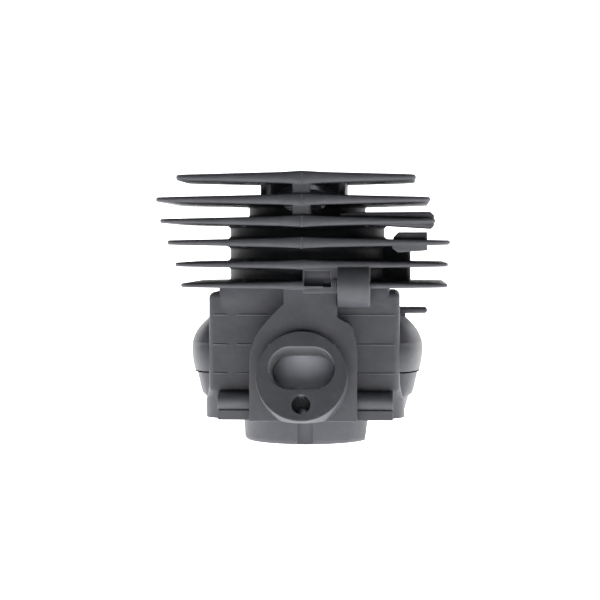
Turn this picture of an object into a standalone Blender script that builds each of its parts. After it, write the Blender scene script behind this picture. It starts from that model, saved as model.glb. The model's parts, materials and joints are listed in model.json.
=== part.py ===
"""Die-cast two-stroke cylinder with its head in one piece, and its piston set, for Blender 4.5.

The frame is the cylinder's own: +Z runs up the bore from the spigot's lower rim to the head, the
intake flange faces -Y, the exhaust flange faces +Y, and the gudgeon pin lies along X. The piston
rests at bottom dead centre.
"""
import math

import bmesh
import bpy
from mathutils import Matrix, Vector

MM = 0.001

# Engine
BORE = 50.0
STROKE = 36.0
BASE_Z = 11.5                    # base gasket plane above the spigot's lower rim
CROWN_BDC = 45.6                 # piston crown at bottom dead centre
DECK_Z = CROWN_BDC + STROKE + 0.7
CHAMBER_RADIUS = 17.0
CHAMBER_TOP = 95.0
BORE_STEPS = 64

# Fins, top to bottom: height, thickness at the parting plane, at the tip, reach left, right, rear
FINS = (
    (114.9, 5.0, 2.4, 53.8, 48.0, 1.0),
    (105.6, 4.6, 2.0, 62.4, 54.1, 47.0),
    (96.5, 4.5, 1.8, 60.7, 56.3, 47.0),
    (87.4, 4.3, 2.0, 57.5, 62.4, 47.0),
    (78.1, 3.6, 1.8, 54.2, 61.6, 47.0),
    (69.3, 3.2, 1.8, 51.8, 61.4, 47.0),
)
FIN_FRONT = -46.5
FIN_CORNER = 6.0
PARTING_SWELL = 0.6              # extra thickness at the parting plane
PARTING_REACH = 10.0             # how far that swelling runs to each side

# Barrel and head core
BARREL_RADII = (34.3, 30.0)
HEAD_RADII = (25.9, 26.0)
HEAD_STEP_Z = 96.4
HEAD_TOP_Z = 105.0

# Boxes on the core as low and high corners, each with its edge rounding
SIDE_RIB = ((34.0, -6.0, 68.0), (45.9, 16.0, 87.4), 2.0)
HEAD_BLOCK = ((-17.8, -12.0, 103.5), (17.8, 10.0, 115.4), 1.5)
HEAD_WALLS = (((-18.0, -38.0, 103.5), (-15.4, 0.0, 115.0), 0.5),
              ((15.4, -38.0, 103.5), (18.0, 0.0, 115.0), 0.5))
FRONT_RIBS = (((-4.1, -44.6, 96.4), (3.4, -20.0, 105.6), 0.5),
              ((-4.1, -45.0, 105.6), (3.4, -41.0, 114.9), 0.5))
FIN_PADS = (((16.0, -43.8, 93.4), (55.5, -14.0, 100.2), 2.6),
            ((38.6, -43.4, 86.0), (52.7, -26.0, 91.8), 1.2),
            ((39.2, -46.4, 83.3), (52.7, -26.0, 88.0), 0.6))
SHORT_FIN = (((36.0, -8.0, 56.4), (53.3, 8.0, 58.8), 0.8),
             ((34.0, -6.0, 50.0), (43.8, 6.0, 58.6), 0.5))

# Lower body
BODY_HALF = 41.2
BODY_FRONT = 30.0
SHOULDER_Z = 66.0                # top of the block's full width
SHOULDER_ROUND = 3.0
NECK_HALF = 36.6                 # half width of the block above its shoulders
NECK_LOW = 60.0
BODY_TOP = 68.8
BASE_FLANGE = (43.2, 8.0, 8.0)   # half width, corner radius, thickness
FOOT_LEFT = (-36.6, -22.4)
FOOT_RIGHT = (22.4, 38.4)
FOOT_ROLL = (34.4, 19.6, 3.8)    # depth and height of its centre, radius
FOOT_FACE = 36.4
FOOT_ROOT = 20.0

# Outside of a transfer duct, upward: reach at its middle, height, half depth
DUCT_SECTIONS = (
    (42.8, BASE_Z + 0.01, 15.0), (45.4, 19.8, 15.5), (47.0, 20.8, 16.0), (47.8, 24.0, 16.0),
    (49.3, 29.8, 17.0), (50.2, 32.0, 27.0), (51.0, 35.5, 28.0), (51.4, 40.5, 28.0),
    (50.8, 45.0, 27.0), (49.2, 48.5, 24.0), (46.6, 51.8, 21.0), (44.0, 54.2, 19.0),
    (41.6, 56.2, 18.0),
)
DUCT_ROOT = 30.0
DUCT_STEPS = 14

# Spigot
SPIGOT_RADIUS = 28.3
SPIGOT_FLAT = 27.2
SPIGOT_TOP = 20.0
SPIGOT_CHAMFER = (1.3, 1.6)      # inward, upward
IMPULSE_GROOVE = (-2.8, 3.9, -26.6)  # left, right, floor

# Intake flange: its face leans back by the tilt
INTAKE_CENTRE = Vector((0.0, -50.0, 31.5))
INTAKE_TILT = math.radians(15)
INTAKE_RADIUS = 19.3
INTAKE_PORT = (28.2, 18.4)
INTAKE_PORT_RISE = 3.3
INTAKE_WINDOW = (27.6, 23.7, 38.2)   # width, lower edge, upper edge at the bore
FLANGE_LENGTH = 14.0
FLANGE_TRIM = ((-24.0, -70.0, -5.0), (24.0, -30.5, BASE_Z - 0.02))   # nothing below the base
IMPULSE_DROP = 12.1
IMPULSE_RADII = (4.05, 2.0)
IMPULSE_DEPTH = 9.0
IMPULSE_END = (1.5, -27.0, 10.8)
HOUSING_DEPTH = (-42.0, -24.0)
HOUSING_LEFT = ((-22.5, BASE_Z), (-22.2, 42.0), (-19.1, 49.0), (-12.9, 57.0), (-8.0, 61.5),
                (-8.0, BODY_TOP))
HOUSING_RIGHT = ((14.6, BODY_TOP), (14.6, 55.2), (20.0, 53.4), (22.0, 48.0), (23.0, 42.0),
                 (23.0, BASE_Z))

# Exhaust flange
EXHAUST_FACE = 55.0
EXHAUST_Z = 51.5
EXHAUST_PORT = (34.0, 19.0)
EXHAUST_WINDOW = (32.0, CROWN_BDC, 58.0)
EXHAUST_SCREW = (25.0, 2.2, 14.0)    # distance from the middle, radius, depth
EXHAUST_DUCT = (22.0, 38.5, 64.5, 6.0)   # half width, lower edge, upper edge, corner radius
EXHAUST_FLANGE = (32.0, 39.5, 63.5, 11.9, 7.0)   # the same, and thickness

# Transfer ducts
TRANSFER_HALF_WIDTH = 11.0
TRANSFER_INNER = 30.5
TRANSFER_TOP = 54.5
TRANSFER_PORT = (20.0, 36.5)     # from and to, out from the bore's axis
DUCT_WALL = 3.6

# Sparking plug seat
PLUG_SEAT = Vector((0.0, -8.0, 104.0))
PLUG_TILT = math.radians(45)
PLUG_CLEARANCE = 15.3
PLUG_SPOT = (10.5, 1.5)
PLUG_HOLE = (6.9, 17.0)          # radius, depth
PLUG_REACH = 45.0                # how far its clearance runs out

# Base screws
BASE_SCREW = (31.0, 22.0)
BASE_SCREW_SHAFT = 5.0
BASE_SCREW_HOLE = 3.0
BASE_SCREW_SEAT = 20.0
SHAFT_TOP = 125.0

# Side screw boss
BOSS_X = (15.0, 28.6)
BOSS_RADIUS = 9.2
BOSS_CENTRE = (-41.5, 69.2)
BOSS_HOLE = (-44.6, 70.4)
BOSS_TROUGH = (3.8, 12.0)        # radius, right end
BOSS_BORE = (9.0, 25.0, 2.1)     # from, to, radius
BOSS_BACK = -25.0
BOSS_WEB = ((0.4, FIN_FRONT, 66.5), (16.0, -24.0, 78.0))

# Piston, measured down from its crown
PISTON_RADIUS = 24.6
PISTON_HEIGHT = 39.0
LAND_INSET = 0.2
CROWN_CHAMFER = 0.6
SKIRT_START = 9.5
SKIRT_CHAMFER = 0.8
HOLLOW = ((0.0, 5.5), (17.5, 5.5), (19.5, 7.0), (19.5, 11.5), (22.3, 14.5))   # radius, drop
PIN_BOSS = (9.5, 21.6)           # radius, outer end
PIN_BOSS_GAP = 0.6               # beside the cage
BOSS_RIB = ((11.0, 20.0), 4.0, 6.0, 5.0)     # from and to, half width, above pin, below crown
SKIRT_ARCH = (11.0, 10.2, 3.0)   # half width, below pin, rounding
PIN_DROP = 24.0
PIN_Z = CROWN_BDC - PIN_DROP
GROOVE_TOPS = (1.8, 5.2)
GROOVE_HEIGHT = 1.9
GROOVE_BOTTOM = 21.9
RING_RADII = (22.3, 24.75)
RING_HEIGHT = 1.3
RING_GAP = 3.2
RING_PIN_ANGLES = (math.radians(-55), math.radians(-125))
RING_PIN = (20.5, 24.0, 0.7)     # from, to, radius
RING_PIN_SEAT = (20.2, 26.0, 1.0)
PIN_RADII = (6.0, 3.8)
PIN_HALF = 19.2
PIN_BORE = 6.3
CLIP_X = 20.6
CLIP_WIRE = 0.55
CLIP_RADIUS = 6.4
CLIP_ARC = (-60, 300, 26)        # first angle, sweep, steps
CLIP_GROOVE = (7.3, 0.95)

# Small end bearing
ROLLERS = 12
ROLLER_RADIUS = 1.0
ROLLER_HALF = 6.0
ROLLER_PITCH = 7.35
CAGE_RADII = (6.35, 8.3)
CAGE_HALF = 7.6
CAGE_SLOT = (1.35, 6.35)         # half width, half length

PAINTED = ("heat_paint_grey", (0.09, 0.093, 0.105, 1.0), 0.55, 0.2)
PISTON_ALLOY = ("piston_alloy", (0.62, 0.63, 0.66, 1.0), 0.35, 1.0)
RING_STEEL = ("ring_steel", (0.30, 0.30, 0.32, 1.0), 0.30, 1.0)
PIN_STEEL = ("ground_steel", (0.60, 0.60, 0.62, 1.0), 0.18, 1.0)
SPRING_STEEL = ("spring_steel", (0.22, 0.22, 0.24, 1.0), 0.35, 1.0)
CAGE_STEEL = ("cage_steel", (0.42, 0.40, 0.36, 1.0), 0.40, 1.0)


def clear_scene():
    """Remove every object, so that the script can run from any file."""
    for item in list(bpy.data.objects):
        bpy.data.objects.remove(item, do_unlink=True)


def make_collection(name):
    """Add an empty collection to the scene."""
    group = bpy.data.collections.new(name)
    bpy.context.scene.collection.children.link(group)
    return group


def make_material(name, colour, roughness, metallic):
    """Return the named Principled material, made once."""
    if name in bpy.data.materials:
        return bpy.data.materials[name]
    made = bpy.data.materials.new(name)
    made.use_nodes = True
    shader = made.node_tree.nodes["Principled BSDF"]
    shader.inputs["Base Color"].default_value = colour
    shader.inputs["Roughness"].default_value = roughness
    shader.inputs["Metallic"].default_value = metallic
    return made


def add_mesh(name, bm):
    """Turn a bmesh into an object that isn't in any collection yet."""
    bmesh.ops.recalc_face_normals(bm, faces=bm.faces)
    mesh = bpy.data.meshes.new(name)
    bm.to_mesh(mesh)
    bm.free()
    return bpy.data.objects.new(name, mesh)


def box(name, low, high):
    """A box between two corners, in millimetres."""
    low, high = Vector(low), Vector(high)
    bm = bmesh.new()
    bmesh.ops.create_cube(bm, size=1.0)
    bmesh.ops.scale(bm, vec=(high - low) * MM, verts=bm.verts)
    bmesh.ops.translate(bm, vec=(low + high) * 0.5 * MM, verts=bm.verts)
    return add_mesh(name, bm)


def rounded_box(name, low, high, radius, segments=3):
    """A box whose edges are all bevelled round."""
    made = box(name, low, high)
    bevel = made.modifiers.new("Rounding", "BEVEL")
    bevel.width = radius * MM
    bevel.segments = segments
    bevel.limit_method = "ANGLE"
    return made


def rod(name, start, end, radius, steps=24, end_radius=None):
    """A round bar or cone between two points, in millimetres."""
    start, end = Vector(start), Vector(end)
    along = end - start
    bm = bmesh.new()
    far_radius = radius if end_radius is None else end_radius
    bmesh.ops.create_cone(bm, cap_ends=True, segments=steps, radius1=radius * MM,
                          radius2=far_radius * MM, depth=along.length * MM)
    turn = along.to_track_quat("Z", "Y").to_matrix().to_4x4()
    place = Matrix.Translation((start + end) * 0.5 * MM) @ turn
    bmesh.ops.transform(bm, matrix=place, verts=bm.verts)
    return add_mesh(name, bm)


def turned(name, profile, steps, closed=False):
    """A solid turned about Z from (radius, height) points listed down its outer side."""
    bm = bmesh.new()
    corners = [bm.verts.new((radius * MM, 0.0, height * MM)) for radius, height in profile]
    for first, second in zip(corners, corners[1:]):
        bm.edges.new((first, second))
    if closed:
        bm.edges.new((corners[-1], corners[0]))
    mesh = bpy.data.meshes.new(name)
    bm.to_mesh(mesh)
    bm.free()
    made = bpy.data.objects.new(name, mesh)
    screw = made.modifiers.new("Turning", "SCREW")
    screw.steps = steps
    screw.render_steps = steps
    screw.use_merge_vertices = True
    screw.merge_threshold = 0.00001
    return made


def plate(name, outline, low, high, facing="Z"):
    """A flat outline given thickness from low to high along Z, Y or X."""
    curve = bpy.data.curves.new(name, "CURVE")
    curve.dimensions = "2D"
    curve.fill_mode = "BOTH"
    curve.extrude = (high - low) * 0.5 * MM
    spline = curve.splines.new("POLY")
    spline.points.add(len(outline) - 1)
    for point, (across, up) in zip(spline.points, outline):
        point.co = (across * MM, up * MM, 0.0, 1.0)
    spline.use_cyclic_u = True
    flat = bpy.data.objects.new(name + "_outline", curve)
    bpy.context.scene.collection.objects.link(flat)
    graph = bpy.context.evaluated_depsgraph_get()
    mesh = bpy.data.meshes.new_from_object(flat.evaluated_get(graph))
    bpy.data.objects.remove(flat, do_unlink=True)
    bm = bmesh.new()
    bm.from_mesh(mesh)
    bpy.data.meshes.remove(mesh)
    bmesh.ops.remove_doubles(bm, verts=bm.verts, dist=0.000001)
    middle = (low + high) * 0.5 * MM
    turns = {
        "Z": Matrix.Translation((0.0, 0.0, middle)),
        "Y": Matrix.Translation((0.0, middle, 0.0)) @ Matrix.Rotation(math.pi / 2, 4, "X"),
        "X": Matrix.Translation((middle, 0.0, 0.0))
             @ Matrix.Rotation(math.pi / 2, 4, "Z") @ Matrix.Rotation(math.pi / 2, 4, "X"),
    }
    bmesh.ops.transform(bm, matrix=turns[facing], verts=bm.verts)
    return add_mesh(name, bm)


def arc(centre, radius, start, end, steps):
    """Points on an arc, in the plane of the outline, angles in degrees."""
    angles = [math.radians(start + (end - start) * step / steps) for step in range(steps + 1)]
    return [(centre[0] + radius * math.cos(a), centre[1] + radius * math.sin(a)) for a in angles]


def rounded_rectangle(left, right, low, high, radius, steps=3):
    """A rectangle's outline with round corners."""
    points = arc((right - radius, high - radius), radius, 0, 90, steps)
    points += arc((left + radius, high - radius), radius, 90, 180, steps)
    points += arc((left + radius, low + radius), radius, 180, 270, steps)
    points += arc((right - radius, low + radius), radius, 270, 360, steps)
    return points


def ellipse(across, up, steps, centre=(0.0, 0.0)):
    """An ellipse's outline with its half axes."""
    angles = [2 * math.pi * step / steps for step in range(steps)]
    return [(centre[0] + across * math.cos(a), centre[1] + up * math.sin(a)) for a in angles]


def combine(target, tool, operation, solver="EXACT"):
    """Join a solid to the target or cut it from the target."""
    CUTTERS.objects.link(tool)
    tool.hide_render = True
    tool.display_type = "WIRE"
    step = target.modifiers.new(tool.name, "BOOLEAN")
    step.operation = operation
    step.solver = solver
    step.object = tool


def finish(target, look, smooth_angle=30, parent=None):
    """Put a finished part in its collection with its material and shading."""
    PARTS.objects.link(target)
    target.data.materials.append(make_material(*look))
    target.data.shade_smooth()
    target.data.set_sharp_from_angle(angle=math.radians(smooth_angle))
    if parent is not None:
        target.parent = parent
        target.matrix_parent_inverse = parent.matrix_world.inverted()


def pivot(name, place, parent=None):
    """An empty on a joint's axis."""
    made = bpy.data.objects.new(name, None)
    made.empty_display_size = 0.01
    made.location = Vector(place) * MM
    PARTS.objects.link(made)
    bpy.context.view_layer.update()
    if parent is not None:
        made.parent = parent
        made.matrix_parent_inverse = parent.matrix_world.inverted()
        bpy.context.view_layer.update()
    return made


def fin_thickness(across, reach, middle, tip):
    """A fin's thickness, drafted from the parting plane to the tip."""
    distance = abs(across)
    draft = tip + (middle - tip) * (1.0 - distance / reach)
    return draft + PARTING_SWELL * max(0.0, 1.0 - distance / PARTING_REACH)


def fin(number, height, middle, tip, left, right, rear):
    """One cooling fin: a flat plate that thins to both sides of the parting plane."""
    outline = rounded_rectangle(-left, right, FIN_FRONT, rear, FIN_CORNER)
    made = plate(f"fin_{number}", outline, -1.0, 1.0)
    bm = bmesh.new()
    bm.from_mesh(made.data)
    for cut in (-PARTING_REACH, 0.0, PARTING_REACH):
        everything = bm.verts[:] + bm.edges[:] + bm.faces[:]
        bmesh.ops.bisect_plane(bm, geom=everything, plane_co=(cut * MM, 0.0, 0.0),
                               plane_no=(1.0, 0.0, 0.0), dist=0.0000001)
    for corner in bm.verts:
        across = corner.co.x / MM
        reach = left if across < 0.0 else right
        side = 1.0 if corner.co.z > 0.0 else -1.0
        half = fin_thickness(across, reach, middle, tip) * 0.5
        corner.co.z = (height + side * half) * MM
    bmesh.ops.dissolve_limit(bm, angle_limit=0.0002, verts=bm.verts, edges=bm.edges)
    bm.to_mesh(made.data)
    bm.free()
    return made


def core_solids():
    """Barrel above the body, head above the barrel, and the ribs and pads on the fins."""
    barrel = ellipse(*BARREL_RADII, 40)
    head = ellipse(*HEAD_RADII, 40)
    yield plate("barrel", barrel, NECK_LOW, HEAD_STEP_Z)
    yield plate("head", head, HEAD_STEP_Z - 1.0, HEAD_TOP_Z)
    boxes = (SIDE_RIB, HEAD_BLOCK) + HEAD_WALLS + FRONT_RIBS + FIN_PADS + SHORT_FIN
    for number, (low, high, radius) in enumerate(boxes):
        yield rounded_box(f"core_box_{number}", low, high, radius, 2)


def body_solids():
    """Block, transfer ducts, feet and spigot."""
    yield rounded_box("block", (-BODY_HALF, -BODY_FRONT, BASE_Z + 0.02),
                      (BODY_HALF, BODY_FRONT, SHOULDER_Z), SHOULDER_ROUND, 3)
    yield box("neck", (-NECK_HALF, -BODY_FRONT, NECK_LOW), (NECK_HALF, BODY_FRONT, BODY_TOP))
    half, corner, thick = BASE_FLANGE
    base = rounded_rectangle(-half, half, -BODY_FRONT, BODY_FRONT, corner)
    yield plate("base_flange", base, BASE_Z, BASE_Z + thick)
    for side in (-1, 1):
        yield duct_bulge(side)
    depth, height, radius = FOOT_ROLL
    foot = [(-FOOT_ROOT, BASE_Z), (-FOOT_ROOT, height + radius)]
    foot += arc((-depth, height), radius, 90, 235, 6)
    foot += [(-FOOT_FACE, height - radius), (-FOOT_FACE, BASE_Z)]
    for end in (-1, 1):
        profile = [(end * -across, up) for across, up in foot]
        yield plate(f"foot_left_{end}", profile, *FOOT_LEFT, "X")
        yield plate(f"foot_right_{end}", profile, *FOOT_RIGHT, "X")
    inward, upward = SPIGOT_CHAMFER
    rim = [(0.0, SPIGOT_TOP), (SPIGOT_RADIUS, SPIGOT_TOP), (SPIGOT_RADIUS, upward),
           (SPIGOT_RADIUS - inward, 0.0), (0.0, 0.0)]
    yield turned("spigot", rim, BORE_STEPS)


def duct_bulge(side):
    """The outside of one transfer duct: half oval in plan and widest at mid height."""
    rings = []
    for reach, height, depth in DUCT_SECTIONS:
        swell = max(reach - BODY_HALF, 0.4)
        ring = [Vector((side * DUCT_ROOT, depth, height)),
                Vector((side * DUCT_ROOT, -depth, height))]
        for step in range(DUCT_STEPS + 1):
            angle = math.radians(-90 + 180 * step / DUCT_STEPS)
            across = reach - swell + swell * math.cos(angle)
            ring.append(Vector((side * across, depth * math.sin(angle), height)))
        rings.append(ring)
    return loft(f"duct_{side}", rings)


def intake_frame():
    """The intake face's outward, upward and across directions."""
    outward = Vector((0.0, -math.cos(INTAKE_TILT), math.sin(INTAKE_TILT)))
    upward = Vector((0.0, math.sin(INTAKE_TILT), math.cos(INTAKE_TILT)))
    return outward, upward


def intake_solids():
    """Arch-shaped housing and the round flange that the intake boot fits."""
    outward, _ = intake_frame()
    yield plate("housing", HOUSING_LEFT + HOUSING_RIGHT, *HOUSING_DEPTH, "Y")
    yield rod("intake_flange", INTAKE_CENTRE - outward * FLANGE_LENGTH, INTAKE_CENTRE,
              INTAKE_RADIUS, 48)


def exhaust_solids():
    """Exhaust duct and its two-screw flange."""
    half, low, high, corner = EXHAUST_DUCT
    duct = rounded_rectangle(-half, half, low, high, corner)
    yield plate("exhaust_duct", duct, BODY_FRONT - 6.0, EXHAUST_FACE - 3.0, "Y")
    half, low, high, corner, thick = EXHAUST_FLANGE
    flange = rounded_rectangle(-half, half, low, high, corner, 6)
    yield plate("exhaust_flange", flange, EXHAUST_FACE - thick, EXHAUST_FACE, "Y")


def boss_solids():
    """Screw boss that joins the two lowest fins, with the web beside it."""
    depth, height = BOSS_CENTRE
    round_front = arc((depth, height), BOSS_RADIUS, 90, 270, 12)
    outline = [(BOSS_BACK, height + BOSS_RADIUS)] + round_front
    outline += [(BOSS_BACK, height - BOSS_RADIUS)]
    yield plate("screw_boss", outline, *BOSS_X, "X")
    yield box("boss_web", *BOSS_WEB)


def plug_axis():
    """Direction out of the plug hole, up and toward the intake side."""
    return Vector((0.0, -math.sin(PLUG_TILT), math.cos(PLUG_TILT)))


def loft(name, rings):
    """A closed solid through rings of equally many points."""
    bm = bmesh.new()
    loops = [[bm.verts.new(point * MM) for point in ring] for ring in rings]
    bm.faces.new(loops[0])
    bm.faces.new(loops[-1])
    count = len(loops[0])
    for near, far in zip(loops, loops[1:]):
        for first in range(count):
            second = (first + 1) % count
            bm.faces.new((near[first], near[second], far[second], far[first]))
    return add_mesh(name, bm)


def stadium(width, height, steps=8):
    """An oblong outline with round ends, centred on zero."""
    radius = height * 0.5
    reach = width * 0.5 - radius
    points = arc((reach, 0.0), radius, -90, 90, steps)
    return points + arc((-reach, 0.0), radius, 90, 270, steps)


def bore_cutters():
    """Bore with its chamber, and the ports that open into it."""
    dome = [(0.0, CHAMBER_TOP)]
    rise = CHAMBER_TOP - DECK_Z - 0.5
    for step in range(1, 6):
        angle = math.radians(90 * step / 5)
        dome.append((CHAMBER_RADIUS * math.sin(angle), DECK_Z + 0.5 + rise * math.cos(angle)))
    profile = dome + [(BORE * 0.5, DECK_Z), (BORE * 0.5, -1.0), (0.0, -1.0)]
    yield turned("bore", profile, BORE_STEPS)
    yield intake_passage()
    yield exhaust_passage()
    half = TRANSFER_HALF_WIDTH
    for side in (-1, 1):
        shape = [(TRANSFER_INNER, BASE_Z - 6.0), (DUCT_SECTIONS[0][0] - DUCT_WALL, BASE_Z - 6.0)]
        shape += [(reach - DUCT_WALL, height) for reach, height, _ in DUCT_SECTIONS
                  if height < TRANSFER_TOP - 4.0]
        shape += [(TRANSFER_PORT[1], TRANSFER_TOP - 2.0), (TRANSFER_INNER, TRANSFER_TOP - 2.0)]
        outline = [(side * across, height) for across, height in shape]
        yield plate(f"transfer_duct_{side}", outline, -half, half, "Y")
        inner, outer = sorted(side * reach for reach in TRANSFER_PORT)
        yield rounded_box(f"transfer_port_{side}", (inner, -half, CROWN_BDC),
                          (outer, half, TRANSFER_TOP), 1.5, 2)


def intake_passage():
    """Oblong passage from the flange face to the bore, and beyond both."""
    _, upward = intake_frame()
    across = Vector((1.0, 0.0, 0.0))
    mouth = INTAKE_CENTRE + upward * INTAKE_PORT_RISE
    width, low, high = INTAKE_WINDOW
    window = Vector((0.0, 1.0 - BORE * 0.5, (low + high) * 0.5))
    inward = (window - mouth).normalized()
    near = [mouth - inward * 2.0 + across * x + upward * z for x, z in stadium(*INTAKE_PORT)]
    far = [window + inward * 4.0 + across * x + Vector((0.0, 0.0, z))
           for x, z in stadium(width, high - low)]
    return loft("intake_passage", (near, far))


def exhaust_passage():
    """Oblong passage from the exhaust flange's face to the bore, and beyond both."""
    width, low, high = EXHAUST_WINDOW
    near = [Vector((x, EXHAUST_FACE + 1.0, EXHAUST_Z + z)) for x, z in stadium(*EXHAUST_PORT)]
    far = [Vector((x, BORE * 0.5 - 5.0, (low + high) * 0.5 + z))
           for x, z in stadium(width, high - low)]
    return loft("exhaust_passage", (near, far))


def hole_cutters():
    """Impulse hole, plug seat, screw holes and the spigot's groove and flats."""
    outward, upward = intake_frame()
    wide, narrow = IMPULSE_RADII
    mouth = INTAKE_CENTRE - upward * IMPULSE_DROP
    pocket = mouth - outward * IMPULSE_DEPTH
    yield rod("impulse_pocket", mouth + outward, pocket, wide, 20)
    yield rod("impulse_hole", pocket + outward - upward * 1.7, IMPULSE_END, narrow, 12)
    left, right, floor = IMPULSE_GROOVE
    yield box("base_plane", *FLANGE_TRIM)
    yield box("impulse_groove", (left, floor - 4.0, -1.0), (right, floor, BASE_Z - 0.02))
    for side in (-1, 1):
        inner, outer = sorted((side * SPIGOT_FLAT, side * (SPIGOT_RADIUS + 6.0)))
        yield box(f"spigot_flat_{side}", (inner, -BODY_FRONT, -1.0),
                  (outer, BODY_FRONT, BASE_Z - 0.02))
    axis = plug_axis()
    spot_radius, spot_depth = PLUG_SPOT
    hole_radius, hole_depth = PLUG_HOLE
    yield rod("plug_clearance", PLUG_SEAT, PLUG_SEAT + axis * PLUG_REACH, PLUG_CLEARANCE, 40)
    yield rod("plug_spot", PLUG_SEAT - axis * spot_depth, PLUG_SEAT + axis, spot_radius, 32)
    yield rod("plug_hole", PLUG_SEAT - axis * hole_depth, PLUG_SEAT, hole_radius, 28)
    yield from screw_cutters()


def screw_cutters():
    """Base screw shafts and holes, exhaust screw holes, and the side boss's hole and trough."""
    for x_side in (-1, 1):
        for y_side in (-1, 1):
            x, y = x_side * BASE_SCREW[0], y_side * BASE_SCREW[1]
            label = f"{x_side}_{y_side}"
            yield rod(f"screw_shaft_{label}", (x, y, BASE_SCREW_SEAT), (x, y, SHAFT_TOP),
                      BASE_SCREW_SHAFT, 16)
            yield rod(f"screw_hole_{label}", (x, y, BASE_Z - 2.0), (x, y, BASE_SCREW_SEAT + 1.0),
                      BASE_SCREW_HOLE, 12)
        distance, radius, deep = EXHAUST_SCREW
        x = x_side * distance
        yield rod(f"exhaust_screw_{x_side}", (x, EXHAUST_FACE - deep, EXHAUST_Z),
                  (x, EXHAUST_FACE + 1.0, EXHAUST_Z), radius, 12)
    depth, height = BOSS_HOLE
    trough_radius, trough_end = BOSS_TROUGH
    yield rod("boss_trough", (BOSS_WEB[0][0], depth - 0.4, height),
              (trough_end, depth - 0.4, height), trough_radius, 20)
    near, far, radius = BOSS_BORE
    yield rod("boss_hole", (near, depth, height), (far, depth, height), radius, 14)


def build_casting():
    """The painted casting, joined from its features and cut by its bores."""
    casting = fin(2, *FINS[1])
    casting.name = "cylinder_casting"
    joined = [fin(number + 1, *FINS[number]) for number in (0, 2, 3, 4, 5)]
    for group in (core_solids, body_solids, intake_solids, exhaust_solids, boss_solids):
        joined.extend(group())
    for solid in joined:
        combine(casting, solid, "UNION", "MANIFOLD")
    for group in (bore_cutters, hole_cutters):
        for solid in group():
            combine(casting, solid, "DIFFERENCE", "MANIFOLD")
    finish(casting, PAINTED)


def piston_profile():
    """Outer side of the piston from the crown's centre to the skirt's rim."""
    top, bottom = CROWN_BDC, CROWN_BDC - PISTON_HEIGHT
    land = PISTON_RADIUS - LAND_INSET
    points = [(0.0, top), (land - CROWN_CHAMFER, top), (land, top - CROWN_CHAMFER)]
    for drop in GROOVE_TOPS:
        high, low = top - drop, top - drop - GROOVE_HEIGHT
        points += [(land, high), (GROOVE_BOTTOM, high), (GROOVE_BOTTOM, low), (land, low)]
    points += [(PISTON_RADIUS, top - SKIRT_START), (PISTON_RADIUS, bottom + SKIRT_CHAMFER)]
    return points + [(PISTON_RADIUS - CROWN_CHAMFER, bottom), (0.0, bottom)]


def ring_pin_place(number):
    """Where a ring's locating pin crosses its groove, and its outward direction."""
    angle = RING_PIN_ANGLES[number]
    height = CROWN_BDC - GROOVE_TOPS[number] - GROOVE_HEIGHT * 0.5
    return Vector((math.cos(angle), math.sin(angle), 0.0)), height


def build_piston(parent):
    """Piston with ring grooves, hollow skirt, pin bosses and circlip grooves."""
    piston = turned("piston", piston_profile(), BORE_STEPS)
    bottom = CROWN_BDC - PISTON_HEIGHT
    hollow = [(radius, CROWN_BDC - drop) for radius, drop in HOLLOW]
    hollow += [(HOLLOW[-1][0], bottom - 1.0), (0.0, bottom - 1.0)]
    combine(piston, turned("piston_hollow", hollow, 48), "DIFFERENCE")
    boss_radius, boss_end = PIN_BOSS
    rib_reach, rib_half, rib_rise, rib_drop = BOSS_RIB
    for side in (-1, 1):
        near, far = side * (CAGE_HALF + PIN_BOSS_GAP), side * boss_end
        combine(piston, rod(f"pin_boss_{side}", (near, 0.0, PIN_Z), (far, 0.0, PIN_Z),
                            boss_radius, 32), "UNION")
        low, high = sorted(side * reach for reach in rib_reach)
        combine(piston, box(f"boss_rib_{side}", (low, -rib_half, PIN_Z + rib_rise),
                            (high, rib_half, CROWN_BDC - rib_drop)), "UNION")
    combine(piston, rod("pin_bore", (-BORE, 0.0, PIN_Z), (BORE, 0.0, PIN_Z), PIN_BORE, 32),
            "DIFFERENCE")
    groove, half = CLIP_GROOVE
    arch_half, arch_drop, arch_round = SKIRT_ARCH
    for side in (-1, 1):
        near, far = side * (CLIP_X - half), side * (CLIP_X + half)
        combine(piston, rod(f"clip_groove_{side}", (near, 0.0, PIN_Z), (far, 0.0, PIN_Z),
                            groove, 32), "DIFFERENCE")
        low, high = sorted((side * PISTON_RADIUS * 0.6, side * PISTON_RADIUS * 1.2))
        combine(piston, rounded_box(f"skirt_arch_{side}", (low, -arch_half, bottom - 8.0),
                                    (high, arch_half, PIN_Z - arch_drop), arch_round, 3),
                "DIFFERENCE")
    seat_near, seat_far, seat_radius = RING_PIN_SEAT
    for number, name in enumerate(("upper", "lower")):
        outward, height = ring_pin_place(number)
        centre = Vector((0.0, 0.0, height))
        combine(piston, rod(f"pin_seat_{name}", centre + outward * seat_near,
                            centre + outward * seat_far, seat_radius, 12), "DIFFERENCE")
    finish(piston, PISTON_ALLOY, parent=parent)


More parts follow.
